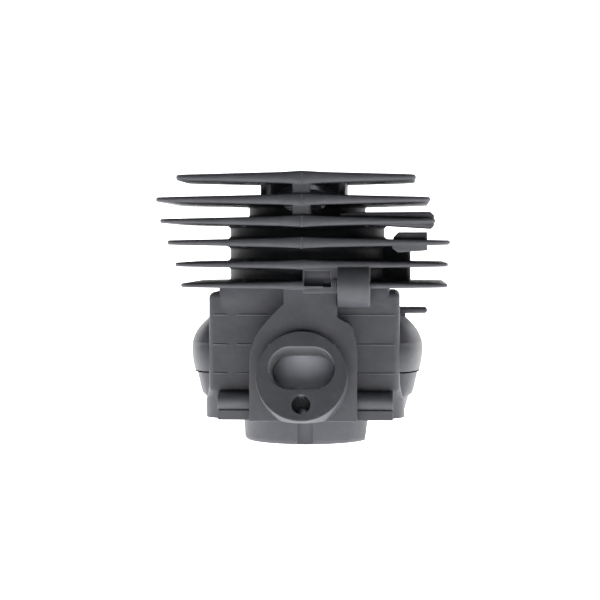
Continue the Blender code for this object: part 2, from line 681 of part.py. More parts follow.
def build_ring(number, name, parent):
    """A piston ring with its end gap, and the pin that stops it turning."""
    inner, outer = RING_RADII
    outward, height = ring_pin_place(number)
    low, high = height - RING_HEIGHT * 0.5, height + RING_HEIGHT * 0.5
    section = [(inner, high), (outer, high), (outer, low), (inner, low)]
    ring = turned(f"piston_ring_{name}", section, BORE_STEPS, closed=True)
    centre = Vector((0.0, 0.0, height))
    gap = rod(f"ring_gap_{name}", centre + outward * (inner - 2.0),
              centre + outward * (outer + 2.0), RING_GAP * 0.5, 4)
    turn = Matrix.Rotation(math.pi / 4, 4, outward)
    lift = Matrix.Translation((0.0, 0.0, height * MM))
    gap.data.transform(lift @ turn @ lift.inverted())
    combine(ring, gap, "DIFFERENCE")
    finish(ring, RING_STEEL, parent=parent)
    near, far, radius = RING_PIN
    pin = rod(f"ring_locating_pin_{name}", centre + outward * near, centre + outward * far,
              radius, 12)
    finish(pin, PIN_STEEL, parent=parent)


def build_circlip(side, name, parent):
    """Round-wire circlip that keeps the gudgeon pin in the piston."""
    curve = bpy.data.curves.new(f"circlip_{name}", "CURVE")
    curve.dimensions = "3D"
    curve.bevel_depth = CLIP_WIRE * MM
    curve.bevel_resolution = 2
    curve.use_fill_caps = True
    first, sweep, steps = CLIP_ARC
    spline = curve.splines.new("POLY")
    spline.points.add(steps)
    for step, point in enumerate(spline.points):
        angle = math.radians(first + sweep * step / steps)
        point.co = (0.0, CLIP_RADIUS * math.cos(angle) * MM, CLIP_RADIUS * math.sin(angle) * MM, 1)
    clip = bpy.data.objects.new(f"circlip_{name}", curve)
    clip.location = (side * CLIP_X * MM, 0.0, PIN_Z * MM)
    PARTS.objects.link(clip)
    curve.materials.append(make_material(*SPRING_STEEL))
    clip.parent = parent
    clip.matrix_parent_inverse = parent.matrix_world.inverted()


def tube_profile(inner, outer, half):
    """Cross-section of a tube, to turn about its own axis."""
    return [(inner, half), (outer, half), (outer, -half), (inner, -half)]


def lay_along_x(made):
    """Move a piece turned about Z on to the gudgeon pin's axis."""
    made.matrix_world = Matrix.Translation((0.0, 0.0, PIN_Z * MM)) @ Matrix.Rotation(
        math.pi / 2, 4, "Y")


def build_wrist_pin(parent):
    """Hollow gudgeon pin, free to turn in the piston."""
    outer, inner = PIN_RADII
    pin = turned("wrist_pin", tube_profile(inner, outer, PIN_HALF), 40, closed=True)
    lay_along_x(pin)
    finish(pin, PIN_STEEL, parent=parent)


def roller_angle(number):
    """Angle of a roller about the pin, measured from +Y toward +Z."""
    return 2 * math.pi * number / ROLLERS


def build_bearing(parent):
    """Caged needle bearing that carries the connecting rod on the pin."""
    cage = turned("small_end_bearing_cage", tube_profile(*CAGE_RADII, CAGE_HALF), 48, closed=True)
    lay_along_x(cage)
    half_width, half_length = CAGE_SLOT
    for number in range(ROLLERS):
        slot = box(f"cage_slot_{number + 1:02d}", (-half_length, CAGE_RADII[0] - 1.0, -half_width),
                   (half_length, CAGE_RADII[1] + 1.0, half_width))
        turn = Matrix.Rotation(roller_angle(number), 4, "X")
        slot.matrix_world = Matrix.Translation((0.0, 0.0, PIN_Z * MM)) @ turn
        combine(cage, slot, "DIFFERENCE")
    finish(cage, CAGE_STEEL, parent=parent)
    for number in range(ROLLERS):
        angle = roller_angle(number)
        place = (0.0, ROLLER_PITCH * math.cos(angle), PIN_Z + ROLLER_PITCH * math.sin(angle))
        name = f"needle_roller_{number + 1:02d}"
        roller = rod(name, (-ROLLER_HALF, 0.0, 0.0), (ROLLER_HALF, 0.0, 0.0), ROLLER_RADIUS, 12)
        roller.location = Vector(place) * MM
        bpy.context.view_layer.update()
        finish(roller, PIN_STEEL, parent=parent)


def main():
    """Build the cylinder and its piston set."""
    build_casting()
    slide = pivot("piston_slide", (0.0, 0.0, PIN_Z))
    spin = pivot("pin_spin", (0.0, 0.0, PIN_Z), slide)
    cage_spin = pivot("cage_spin", (0.0, 0.0, PIN_Z), slide)
    build_piston(slide)
    for number, name in enumerate(("upper", "lower")):
        build_ring(number, name, slide)
    for side, name in ((-1, "left"), (1, "right")):
        build_circlip(side, name, slide)
    build_wrist_pin(spin)
    build_bearing(cage_spin)


clear_scene()
PARTS = make_collection("cylinder_head")
CUTTERS = make_collection("cutters")
main()
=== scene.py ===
# %% [markdown]
# # An air-cooled two-stroke cylinder and its piston set
#
# The real object is one aluminium die casting: finned head, barrel, ports, base flange and spigot in
# a single piece, sprayed with dark grey heat-resistant paint. A piston with its rings, wrist pin and
# needle bearing works inside. The fixed frame already holds every part at its true size, so this
# lesson only makes surfaces: a finely modelled casting, turned inner parts and their materials.

# %% Load the frame and keep its box
import json
import math

import bmesh
import bpy
from mathutils import Matrix, Vector


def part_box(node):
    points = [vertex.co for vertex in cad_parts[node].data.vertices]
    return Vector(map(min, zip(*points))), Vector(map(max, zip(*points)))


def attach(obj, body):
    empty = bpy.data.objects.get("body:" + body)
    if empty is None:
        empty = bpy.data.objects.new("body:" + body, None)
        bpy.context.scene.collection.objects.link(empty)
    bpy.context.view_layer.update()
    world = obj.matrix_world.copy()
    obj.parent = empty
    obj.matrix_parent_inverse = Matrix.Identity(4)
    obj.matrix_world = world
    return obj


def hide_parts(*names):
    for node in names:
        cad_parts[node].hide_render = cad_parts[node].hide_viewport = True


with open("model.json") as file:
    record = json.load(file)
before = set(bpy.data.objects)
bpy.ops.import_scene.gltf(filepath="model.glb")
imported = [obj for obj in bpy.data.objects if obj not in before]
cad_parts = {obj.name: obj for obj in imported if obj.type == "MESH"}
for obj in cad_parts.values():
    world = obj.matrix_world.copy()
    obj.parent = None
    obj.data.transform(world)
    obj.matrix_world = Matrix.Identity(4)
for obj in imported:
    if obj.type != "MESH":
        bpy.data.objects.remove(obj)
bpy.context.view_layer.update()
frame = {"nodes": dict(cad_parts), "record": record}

MM = 0.001

# %% [markdown]
# Places come from the frame. The mounts give the base plane, the intake and exhaust faces and the
# plug's seat, and the nodes' boxes give the rest. Everything below is in millimetres until a mesh is
# made, because engine parts are drawn in millimetres.

# %% Read the places that the shapes hang on
MOUNTS = {mount["name"]: mount for mount in frame["record"]["mounts"]}


def mount_point(name):
    """A mount's point in millimetres, moved to the middle plane."""
    place = MOUNTS[name]["pos_m"]
    return Vector((0.0, place[1], place[2])) / MM


cast_low, cast_high = [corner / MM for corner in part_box("cylinder_casting")]
piston_low, piston_high = [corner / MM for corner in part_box("piston")]
pin_low, pin_high = [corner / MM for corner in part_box("wrist_pin")]
BASE_Z = mount_point("base_face").z
INTAKE_CENTRE = mount_point("intake_face")
INTAKE_OUT = Vector(MOUNTS["intake_face"]["axis"])
INTAKE_UP = Vector((0.0, INTAKE_OUT.z, -INTAKE_OUT.y))
EXHAUST_FACE = mount_point("exhaust_face").y
EXHAUST_Z = mount_point("exhaust_face").z
PLUG_OUT = Vector(MOUNTS["plug_seat"]["axis"])
PLUG_SPOT = mount_point("plug_seat")
PIN_Z = (pin_low.z + pin_high.z) * 0.5
CROWN_Z = piston_high.z
BORE_RADIUS = 25.0
STROKE = 36.0
DECK_Z = CROWN_Z + STROKE + 0.7
print("base plane", round(BASE_Z, 2), "pin", round(PIN_Z, 2), "crown", round(CROWN_Z, 2))

# %% [markdown]
# One helper adds any node, in materials and in geometry trees alike. It sets the node's own settings,
# then fills each input with a number or links it to another node's output.

# %% The node helper and the colour helper


def add_node(tree, kind, settings=None, inputs=None):
    """Add one node, set it up, and return its outputs."""
    node = tree.nodes.new(kind)
    for name, value in (settings or {}).items():
        setattr(node, name, value)
    for socket, value in (inputs or {}).items():
        if isinstance(value, bpy.types.NodeSocket):
            tree.links.new(value, node.inputs[socket])
        else:
            node.inputs[socket].default_value = value
    return node.outputs


def maths(tree, operation, *values, clamp=False):
    """The result of one sum, product or other function of its values."""
    settings = {"operation": operation, "use_clamp": clamp}
    return add_node(tree, "ShaderNodeMath", settings, dict(enumerate(values)))[0]


def linear(code):
    """Linear colour for an sRGB hex code."""
    channels = [int(code[start:start + 2], 16) / 255.0 for start in (1, 3, 5)]
    straight = [c / 12.92 if c <= 0.04045 else ((c + 0.055) / 1.055) ** 2.4 for c in channels]
    return (*straight, 1.0)


print("paint grey, linear:", [round(value, 3) for value in linear("#4E4F54")[:3]])

# %% [markdown]
# ## Finishes
#
# The paint is a matt silicone-aluminium enamel for hot engine parts, sprayed thinly over a die
# casting. It has no gloss coat, so its sheen is broad, and the sand-like grain of paint over cast
# skin is about 0.3 mm. Where an edge is sharp the paint is thin and a little lighter. The edge mask
# compares the true normal with a rounded one, which also softens every crease as casting does.

# %% Heat-resistant paint over die-cast aluminium


def new_material(name):
    """An empty node material, its tree, and the object's own coordinates."""
    made = bpy.data.materials.new(name)
    made.use_nodes = True
    made.node_tree.nodes.clear()
    tree = made.node_tree
    return made, tree, add_node(tree, "ShaderNodeTexCoord")["Object"]


def noise(tree, place, scale, detail=2.0, roughness=0.5):
    """Soft random values, finer with a larger scale."""
    return add_node(tree, "ShaderNodeTexNoise", None, {"Vector": place, "Scale": scale,
                                                       "Detail": detail, "Roughness": roughness})["Fac"]


def tint(tree, share, first, second):
    """A colour between two others."""
    return add_node(tree, "ShaderNodeMix", {"data_type": "RGBA"},
                    {"Factor": share, 6: first, 7: second})[2]


def remap(tree, value, *ends):
    """A value carried from one range to another."""
    return add_node(tree, "ShaderNodeMapRange", None, dict(enumerate((value, *ends))))["Result"]


def relief(tree, strength, distance, height, normal=None):
    """The surface direction with small bumps of a given height."""
    values = {"Strength": strength, "Distance": distance, "Height": height}
    if normal is not None:
        values["Normal"] = normal
    return add_node(tree, "ShaderNodeBump", None, values)[0]


def cover(tree, values):
    """Finish a material with a surface that has the given values."""
    shader = add_node(tree, "ShaderNodeBsdfPrincipled", None, values)[0]
    add_node(tree, "ShaderNodeOutputMaterial", None, {"Surface": shader})


def heat_resistant_enamel():
    """Matt dark grey enamel: fine grain, faint mottling, thin light edges and a few specks."""
    made, tree, place = new_material("heat_resistant_enamel_grey")
    mottle = noise(tree, place, 90.0, 4.0, 0.6)
    grain = noise(tree, place, 2400.0, 3.0, 0.7)
    skin = noise(tree, place, 420.0, 2.0, 0.5)
    tone = remap(tree, mottle, 0.3, 0.7, 0.0, 1.0)
    body = tint(tree, tone, linear("#434449"), linear("#4E4F54"))
    rounded = add_node(tree, "ShaderNodeBevel", {"samples": 6}, {"Radius": 0.45 * MM})[0]
    facing = add_node(tree, "ShaderNodeNewGeometry")["True Normal"]
    match = add_node(tree, "ShaderNodeVectorMath", {"operation": "DOT_PRODUCT"},
                     {0: rounded, 1: facing})["Value"]
    edge = remap(tree, match, 0.98, 0.80, 0.0, 0.55)
    worn = tint(tree, edge, body, linear("#7C7E84"))
    chips = add_node(tree, "ShaderNodeTexVoronoi", {"feature": "F1"},
                     {"Vector": place, "Scale": 75.0, "Randomness": 1.0})
    chosen = add_node(tree, "ShaderNodeSeparateColor", None, {0: chips["Color"]})[0]
    rare = maths(tree, "GREATER_THAN", chosen, 0.93)
    near = maths(tree, "LESS_THAN", chips["Distance"], 0.03)
    speck = maths(tree, "MULTIPLY", rare, near)
    colour = tint(tree, speck, worn, linear("#C4C6CA"))
    rough = remap(tree, grain, 0.3, 0.7, 0.44, 0.58)
    coarse = relief(tree, 0.55, 0.16 * MM, skin, rounded)
    fine = relief(tree, 0.6, 0.08 * MM, grain, coarse)
    cover(tree, {"Base Color": colour, "Roughness": rough, "Metallic": 0.0, "IOR": 1.5, "Normal": fine})
    return made


ENAMEL = heat_resistant_enamel()
print("made", ENAMEL.name)

# %% [markdown]
# The passages are bare die-cast skin, pale and slightly sandy. The gasket faces and the plug's seat
# are milled, so fine arcs of the cutter run across them. The bore is plated with nickel and silicon
# carbide and then honed: two crossed sets of fine scratches at about 45 degrees hold the oil.

# %% Bare casting, milled faces and honed plating


def bare_die_casting():
    """Unpainted aluminium as it left the die: pale grey with a sandy skin."""
    made, tree, place = new_material("bare_die_cast_aluminium")
    sand = noise(tree, place, 900.0, 4.0, 0.7)
    stain = noise(tree, place, 140.0, 3.0, 0.5)
    colour = tint(tree, stain, linear("#A2A3A6"), linear("#B9BABC"))
    bump = relief(tree, 0.6, 0.12 * MM, sand)
    cover(tree, {"Base Color": colour, "Roughness": 0.55, "Metallic": 0.6, "Normal": bump})
    return made


def milled_aluminium():
    """Aluminium faced by a cutter: bright, with fine arcs half a millimetre apart."""
    made, tree, place = new_material("milled_aluminium")
    arcs = add_node(tree, "ShaderNodeTexWave", {"wave_type": "RINGS", "rings_direction": "SPHERICAL"},
                    {"Vector": place, "Scale": 320.0, "Distortion": 0.6, "Detail": 2.0})["Fac"]
    bump = relief(tree, 0.25, 0.02 * MM, arcs)
    rough = remap(tree, arcs, 0.0, 1.0, 0.26, 0.38)
    cover(tree, {"Base Color": linear("#A4A6AB"), "Roughness": rough, "Metallic": 0.7, "Normal": bump})
    return made


def honed_plating():
    """Nickel and silicon carbide plating with crossed honing scratches."""
    made, tree, place = new_material("honed_nickel_plating")
    axes = add_node(tree, "ShaderNodeSeparateXYZ", None, {0: place})
    around = maths(tree, "ARCTAN2", axes["Y"], axes["X"])
    arc = maths(tree, "MULTIPLY", around, BORE_RADIUS * MM)
    heights = []
    for slope in (1.0, -1.0):
        lean = maths(tree, "MULTIPLY_ADD", axes["Z"], slope, arc)
        line = add_node(tree, "ShaderNodeCombineXYZ", None, {0: lean, 1: 0.0, 2: slope})[0]
        heights.append(noise(tree, line, 5200.0, 1.0))
    crossed = maths(tree, "ADD", heights[0], heights[1])
    bump = relief(tree, 0.3, 0.02 * MM, crossed)
    cover(tree, {"Base Color": linear("#A9ABAE"), "Roughness": 0.3, "Metallic": 1.0, "Normal": bump})
    return made


BARE = bare_die_casting()
MILLED = milled_aluminium()
PLATED = honed_plating()
print("made", BARE.name, MILLED.name, PLATED.name)

# %% [markdown]
# The piston is turned from aluminium-silicon alloy. Its skirt keeps the lathe's fine grooves, about
# 0.25 mm apart, which run round it and hold oil. The steel parts are ground, sprung or hardened, and
# differ mostly in tone and in how sharply they reflect.

# %% Turned piston alloy and the steels


def turned_piston_alloy():
    """Aluminium-silicon alloy with the lathe's grooves round the skirt."""
    made, tree, place = new_material("turned_piston_alloy")
    height = add_node(tree, "ShaderNodeSeparateXYZ", None, {0: place})["Z"]
    turns = maths(tree, "MULTIPLY", height, math.tau / (0.25 * MM))
    groove = maths(tree, "SINE", turns)
    stain = noise(tree, place, 60.0, 2.0, 0.4)
    colour = tint(tree, stain, linear("#D2D5DE"), linear("#DDDFE6"))
    bump = relief(tree, 0.3, 0.01 * MM, groove)
    cover(tree, {"Base Color": colour, "Roughness": 0.5, "Metallic": 0.35, "Normal": bump})
    return made


def steel(name, dark, light, roughness, grain):
    """A steel or iron finish whose scratches have the given size in millimetres."""
    made, tree, place = new_material(name)
    stretched = add_node(tree, "ShaderNodeMapping", None, {0: place, 3: (0.08, 1.0, 1.0)})[0]
    scratch = noise(tree, stretched, 1.0 / (grain * MM), 2.0)
    colour = tint(tree, scratch, linear(dark), linear(light))
    rough = remap(tree, scratch, 0.3, 0.7, roughness * 0.8, roughness * 1.2)
    bump = relief(tree, 0.15, 0.01 * MM, scratch)
    cover(tree, {"Base Color": colour, "Roughness": rough, "Metallic": 1.0, "Normal": bump})
    return made


PISTON_ALLOY = turned_piston_alloy()
RING_IRON = steel("ground_cast_iron", "#6E6E70", "#88888A", 0.32, 0.3)
GROUND_STEEL = steel("ground_bearing_steel", "#B2B3B6", "#C8C9CC", 0.16, 0.2)
SPRING_STEEL = steel("oiled_spring_steel", "#4A4B50", "#63646A", 0.34, 0.4)
CAGE_STEEL = steel("hardened_cage_steel", "#7F7A70", "#98938A", 0.38, 0.5)
print("made", len(bpy.data.materials), "materials")

# %% [markdown]
# ## Tools for shapes
#
# A casting is a sum of simple solids with a few bores cut from it, so the helpers make closed solids:
# a loft through rings, a rounded block, a plate with rounded rims, a turned shape and a round bar.
# Each recalculates its normals before anything is joined.

# %% Closed solids in millimetres


def solid(name, bm):
    """Turn a bmesh drawn in millimetres into a linked object in metres."""
    bmesh.ops.recalc_face_normals(bm, faces=bm.faces)
    bmesh.ops.scale(bm, vec=(MM, MM, MM), verts=bm.verts)
    mesh = bpy.data.meshes.new(name)
    bm.to_mesh(mesh)
    bm.free()
    made = bpy.data.objects.new(name, mesh)
    bpy.context.scene.collection.objects.link(made)
    return made


def loft(name, rings):
    """A closed solid through rings of equally many points, capped at both ends."""
    bm = bmesh.new()
    loops = [[bm.verts.new(point) for point in ring] for ring in rings]
    count = len(loops[0])
    bm.faces.new(loops[0])
    bm.faces.new(loops[-1])
    for near, far in zip(loops, loops[1:]):
        for first in range(count):
            second = (first + 1) % count
            bm.faces.new((near[first], near[second], far[second], far[first]))
    return solid(name, bm)


def block(name, low, high, radius, segments=4):
    """A box with all its edges rounded."""
    low, high = Vector(low), Vector(high)
    bm = bmesh.new()
    bmesh.ops.create_cube(bm, size=1.0)
    bmesh.ops.scale(bm, vec=high - low, verts=bm.verts)
    bmesh.ops.translate(bm, vec=(low + high) * 0.5, verts=bm.verts)
    bmesh.ops.bevel(bm, geom=bm.edges[:], offset=radius, segments=segments, profile=0.5,
                    affect="EDGES", clamp_overlap=True)
    return solid(name, bm)


def plate(name, outline, low, high, facing="Z", rim=0.0, segments=4):
    """A flat outline given thickness along Z, Y or X, with its rims rounded."""
    places = {"Z": lambda a, b, c: (a, b, c), "Y": lambda a, b, c: (a, c, b),
              "X": lambda a, b, c: (c, a, b)}
    put = places[facing]
    bm = bmesh.new()
    near = bm.faces.new([bm.verts.new(put(a, b, low)) for a, b in outline])
    far = bmesh.ops.extrude_face_region(bm, geom=[near])["geom"]
    shift = Vector(put(0.0, 0.0, high - low))
    bmesh.ops.translate(bm, vec=shift, verts=[part for part in far
                                              if isinstance(part, bmesh.types.BMVert)])
    if rim:
        along = Vector(put(0.0, 0.0, 1.0))
        rims = [edge for edge in bm.edges
                if abs((edge.verts[0].co - edge.verts[1].co).normalized().dot(along)) < 0.5]
        bmesh.ops.bevel(bm, geom=rims, offset=rim, segments=segments, profile=0.5,
                        affect="EDGES", clamp_overlap=True)
    return solid(name, bm)


def turned(name, profile, steps, axis_turn=None):
    """A solid turned about Z, from points listed from its top centre down to its bottom centre."""
    rings = []
    angles = [math.tau * step / steps for step in range(steps)]
    bm = bmesh.new()
    for radius, height in profile:
        if radius < 0.001:
            rings.append([bm.verts.new((0.0, 0.0, height))])
        else:
            rings.append([bm.verts.new((radius * math.cos(a), radius * math.sin(a), height))
                          for a in angles])
    for upper, lower in zip(rings, rings[1:]):
        for first in range(steps):
            second = (first + 1) % steps
            corners = (upper[first % len(upper)], upper[second % len(upper)],
                       lower[second % len(lower)], lower[first % len(lower)])
            bm.faces.new(list(dict.fromkeys(corners)))
    if axis_turn is not None:
        bmesh.ops.transform(bm, matrix=axis_turn, verts=bm.verts)
    return solid(name, bm)


def bar(name, start, end, radius, steps=32):
    """A round bar between two points."""
    start, end = Vector(start), Vector(end)
    along = end - start
    bm = bmesh.new()
    bmesh.ops.create_cone(bm, cap_ends=True, segments=steps, radius1=radius, radius2=radius,
                          depth=along.length)
    turn = along.to_track_quat("Z", "Y").to_matrix().to_4x4()
    bmesh.ops.transform(bm, matrix=Matrix.Translation((start + end) * 0.5) @ turn, verts=bm.verts)
    return solid(name, bm)


# %% Outlines and joining


def arc(centre, radius, start, end, steps):
    """Points on an arc, angles in degrees."""
    angles = [math.radians(start + (end - start) * step / steps) for step in range(steps + 1)]
    return [(centre[0] + radius * math.cos(a), centre[1] + radius * math.sin(a)) for a in angles]


def rounded_rectangle(left, right, low, high, radius, steps=6):
    """A rectangle's outline with round corners."""
    points = arc((right - radius, high - radius), radius, 0, 90, steps)
    points += arc((left + radius, high - radius), radius, 90, 180, steps)
    points += arc((left + radius, low + radius), radius, 180, 270, steps)
    return points + arc((right - radius, low + radius), radius, 270, 360, steps)


def oblong(width, height, steps=14):
    """An oblong outline with round ends, centred on zero."""
    radius = height * 0.5
    reach = width * 0.5 - radius
    return arc((reach, 0.0), radius, -90, 90, steps) + arc((-reach, 0.0), radius, 90, 270, steps)


def smooth(points, rounds=2):
    """Cut the corners of an open line of points, keeping its two ends."""
    for _ in range(rounds):
        cut = [points[0]]
        for (ax, ay), (bx, by) in zip(points, points[1:]):
            cut += [(ax * 0.75 + bx * 0.25, ay * 0.75 + by * 0.25),
                    (ax * 0.25 + bx * 0.75, ay * 0.25 + by * 0.75)]
        points = cut + [points[-1]]
    return points


def combine(target, tools, operation):
    """Join solids to the target or cut them from it, and freeze the result."""
    for tool in tools:
        step = target.modifiers.new(tool.name, "BOOLEAN")
        step.operation = operation
        step.solver = "MANIFOLD"
        step.object = tool
    freeze(target)
    for tool in tools:
        bpy.data.objects.remove(tool, do_unlink=True)


def freeze(target):
    """Replace an object's live modifiers by the mesh that they make."""
    bpy.context.view_layer.update()
    graph = bpy.context.evaluated_depsgraph_get()
    mesh = bpy.data.meshes.new_from_object(target.evaluated_get(graph))
    target.modifiers.clear()
    target.data = mesh


def smooth_shade(target, angle=32):
    """Shade an object smooth, except across creases."""
    target.data.shade_smooth()
    target.data.set_sharp_from_angle(angle=math.radians(angle))


def triangles(target):
    """How many triangles an object's mesh has."""
    return sum(len(face.vertices) - 2 for face in target.data.polygons)


print("shape tools ready")

# %% [markdown]
# ## The fins
#
# Every cooling fin follows one rule: a flat plate whose thickness falls from the parting plane in
# the middle to each tip, so that the two die halves can pull off sideways, with a small swelling at
# the parting plane, round corners and rounded rims. A rule like this suits Geometry Nodes: a grid is
# wrapped into the plate's closed skin, one column for each station along X, and each fin only sets
# the tree's inputs. Stations follow a sine, so they crowd at the tips where the rim is round.

# %% Geometry tree for one drafted fin
FIN_INPUTS = ("Height", "Left", "Right", "Front", "Rear", "Middle", "Tip", "Swell", "Swell Reach",
              "Corner", "Rim")
FIN_STATIONS = 97
NOSE_STEPS = 8


def open_tree(name, inputs):
    """A geometry tree with its number inputs and a material, and its input sockets."""
    tree = bpy.data.node_groups.new(name, "GeometryNodeTree")
    tree.interface.new_socket("Geometry", in_out="OUTPUT", socket_type="NodeSocketGeometry")
    for one in inputs:
        tree.interface.new_socket(one, in_out="INPUT", socket_type="NodeSocketFloat")
    tree.interface.new_socket("Material", in_out="INPUT", socket_type="NodeSocketMaterial")
    return tree, add_node(tree, "NodeGroupInput")


def close_tree(tree, geometry, given):
    """Make the geometry real, give it its material and send it out."""
    real = add_node(tree, "GeometryNodeRealizeInstances", None, {"Geometry": geometry})[0]
    covered = add_node(tree, "GeometryNodeSetMaterial", None,
                       {"Geometry": real, "Material": given["Material"]})[0]
    add_node(tree, "NodeGroupOutput", None, {"Geometry": covered})
    return tree


def fin_tree():
    """A node group that wraps a grid into a drafted fin."""
    tree, given = open_tree("drafted_fin", FIN_INPUTS)
    loop = 2 * (NOSE_STEPS + 1)
    grid = add_node(tree, "GeometryNodeMeshGrid", None,
                    {"Size X": 2.0, "Size Y": 1.0, "Vertices X": FIN_STATIONS, "Vertices Y": loop + 1})
    here = add_node(tree, "GeometryNodeInputPosition")[0]
    at = add_node(tree, "ShaderNodeSeparateXYZ", None, {0: here})
    # Station along X: the reach depends on the side, and the sine crowds stations at the tip.
    side = maths(tree, "SIGN", at["X"])
    share = maths(tree, "ABSOLUTE", at["X"])
    quarter = maths(tree, "MULTIPLY", share, math.pi / 2)
    swing = maths(tree, "SINE", quarter)
    right = maths(tree, "GREATER_THAN", at["X"], 0.0)
    reach = add_node(tree, "ShaderNodeMix", None, {0: right, 2: given["Left"], 3: given["Right"]})[0]
    away = maths(tree, "MULTIPLY", reach, swing)
    across = maths(tree, "MULTIPLY", away, side)
    # Thickness: draft to the tip, a swelling at the parting plane, and a round tip.
    ratio = maths(tree, "DIVIDE", away, reach)
    draft = add_node(tree, "ShaderNodeMix", None, {0: ratio, 2: given["Middle"], 3: given["Tip"]})[0]
    fade = maths(tree, "DIVIDE", away, given["Swell Reach"])
    rise = maths(tree, "SUBTRACT", 1.0, fade, clamp=True)
    full = maths(tree, "MULTIPLY_ADD", rise, given["Swell"], draft)
    spare = maths(tree, "SUBTRACT", reach, away)
    part = maths(tree, "DIVIDE", spare, given["Rim"], clamp=True)
    left_over = maths(tree, "SUBTRACT", 1.0, part)
    squared = maths(tree, "MULTIPLY", left_over, left_over)
    inside = maths(tree, "SUBTRACT", 1.0, squared, clamp=True)
    round_tip = maths(tree, "SQRT", inside)
    half = maths(tree, "MULTIPLY", full, 0.5)
    thick = maths(tree, "MULTIPLY", half, round_tip)
    # Round corners in plan draw both long edges in toward the tip.
    start = maths(tree, "SUBTRACT", given["Corner"], spare)
    turn = maths(tree, "DIVIDE", start, given["Corner"], clamp=True)
    turn_squared = maths(tree, "MULTIPLY", turn, turn)
    chord = maths(tree, "SUBTRACT", 1.0, turn_squared, clamp=True)
    root = maths(tree, "SQRT", chord)
    bow = maths(tree, "SUBTRACT", 1.0, root)
    inset = maths(tree, "MULTIPLY", bow, given["Corner"])
    front = maths(tree, "ADD", given["Front"], inset)
    rear = maths(tree, "SUBTRACT", given["Rear"], inset)
    # Place round the section: front nose from top to bottom, then rear nose back to the top.
    along = maths(tree, "MULTIPLY_ADD", at["Y"], float(loop), loop * 0.5)
    whole = maths(tree, "ROUND", along)
    index = maths(tree, "MODULO", whole, float(loop))
    nose = maths(tree, "GREATER_THAN", index, NOSE_STEPS + 0.5)
    skip = maths(tree, "MULTIPLY", nose, NOSE_STEPS + 1.0)
    step = maths(tree, "SUBTRACT", index, skip)
    angle = maths(tree, "MULTIPLY_ADD", step, -math.pi / NOSE_STEPS, math.pi / 2)
    lift = maths(tree, "SINE", angle)
    depth = maths(tree, "COSINE", angle)
    facing = maths(tree, "MULTIPLY_ADD", nose, -2.0, 1.0)
    base = add_node(tree, "ShaderNodeMix", None, {0: nose, 2: front, 3: rear})[0]
    pull = maths(tree, "SUBTRACT", 1.0, depth)
    pull_back = maths(tree, "MULTIPLY", pull, given["Rim"])
    deep = maths(tree, "MULTIPLY_ADD", pull_back, facing, base)
    signed = maths(tree, "MULTIPLY", lift, facing)
    high = maths(tree, "MULTIPLY_ADD", signed, thick, given["Height"])
    moved = add_node(tree, "ShaderNodeCombineXYZ", None, {0: across, 1: deep, 2: high})[0]
    metres = add_node(tree, "ShaderNodeVectorMath", {"operation": "SCALE"}, {0: moved, "Scale": MM})[0]
    wrapped = add_node(tree, "GeometryNodeSetPosition", None,
                       {"Geometry": grid["Mesh"], "Position": metres})[0]
    closed = add_node(tree, "GeometryNodeMergeByDistance", None,
                      {"Geometry": wrapped, "Distance": 0.000002})[0]
    return close_tree(tree, closed, given)


def grow(name, tree, values):
    """Run a geometry tree with the given inputs and return its result as a plain mesh object."""
    made = bpy.data.objects.new(name, bpy.data.meshes.new(name))
    bpy.context.scene.collection.objects.link(made)
    nodes = made.modifiers.new(tree.name, "NODES")
    nodes.node_group = tree
    for item in tree.interface.items_tree:
        if item.in_out == "INPUT" and item.name in values:
            nodes[item.identifier] = values[item.name]
    freeze(made)
    return made


def outward(made):
    """Point every face of a closed mesh outwards."""
    bm = bmesh.new()
    bm.from_mesh(made.data)
    bmesh.ops.recalc_face_normals(bm, faces=bm.faces)
    bm.to_mesh(made.data)
    bm.free()


# %% Six fins from one tree
# Height, middle thickness, tip thickness, left reach, right reach, rear edge
FINS = (
    (114.9, 5.0, 2.4, 53.8, 48.0, 1.0),
    (105.6, 4.6, 2.0, -cast_low.x, 54.1, 47.0),
    (96.5, 4.5, 1.8, 60.7, 56.3, 47.0),
    (87.4, 4.3, 2.0, 57.5, cast_high.x, 47.0),
    (78.1, 3.6, 1.8, 54.2, 61.6, 47.0),
    (69.3, 3.2, 1.8, 51.8, 61.4, 47.0),
)
FIN_FRONT = -46.5
FIN_TREE = fin_tree()


def make_fin(number, height, middle, tip, left, right, rear):
    """One fin of the stack."""
    values = {"Height": height, "Left": left, "Right": right, "Front": FIN_FRONT, "Rear": rear,
              "Middle": middle, "Tip": tip, "Swell": 0.6, "Swell Reach": 10.0, "Corner": 6.0,
              "Rim": 0.9, "Material": ENAMEL}
    made = grow(f"fin_{number}", FIN_TREE, values)
    outward(made)
    return made


fins = [make_fin(number + 1, *row) for number, row in enumerate(FINS)]
print("fins:", len(fins), "triangles in one:", triangles(fins[0]))

# %% [markdown]
# ## Barrel and head between the fins
#
# Between two fins the barrel shows as a short column. A casting has a fillet wherever a column meets
# a fin, because molten metal fills a round corner better. Each column is a loft whose sections flare
# out by a quarter circle at both ends.

# %% Columns with fillets


def column(name, half_x, half_y, low, high, fillet, centre=(0.0, 0.0), steps=72):
    """An oval column between two heights that flares at both ends."""
    quarter = [math.radians(90 * step / 5) for step in range(6)]
    flare = [(fillet * (1 - math.sin(a)), fillet * (1 - math.cos(a))) for a in quarter]
    levels = [(low - 1.0, fillet)] + [(low + up, out) for out, up in flare]
    levels += [(high - up, out) for out, up in reversed(flare)] + [(high + 1.0, fillet)]
    rings = []
    for height, out in levels:
        rings.append([(centre[0] + (half_x + out) * math.cos(math.tau * step / steps),
                       centre[1] + (half_y + out) * math.sin(math.tau * step / steps), height)
                      for step in range(steps)])
    return loft(name, rings)


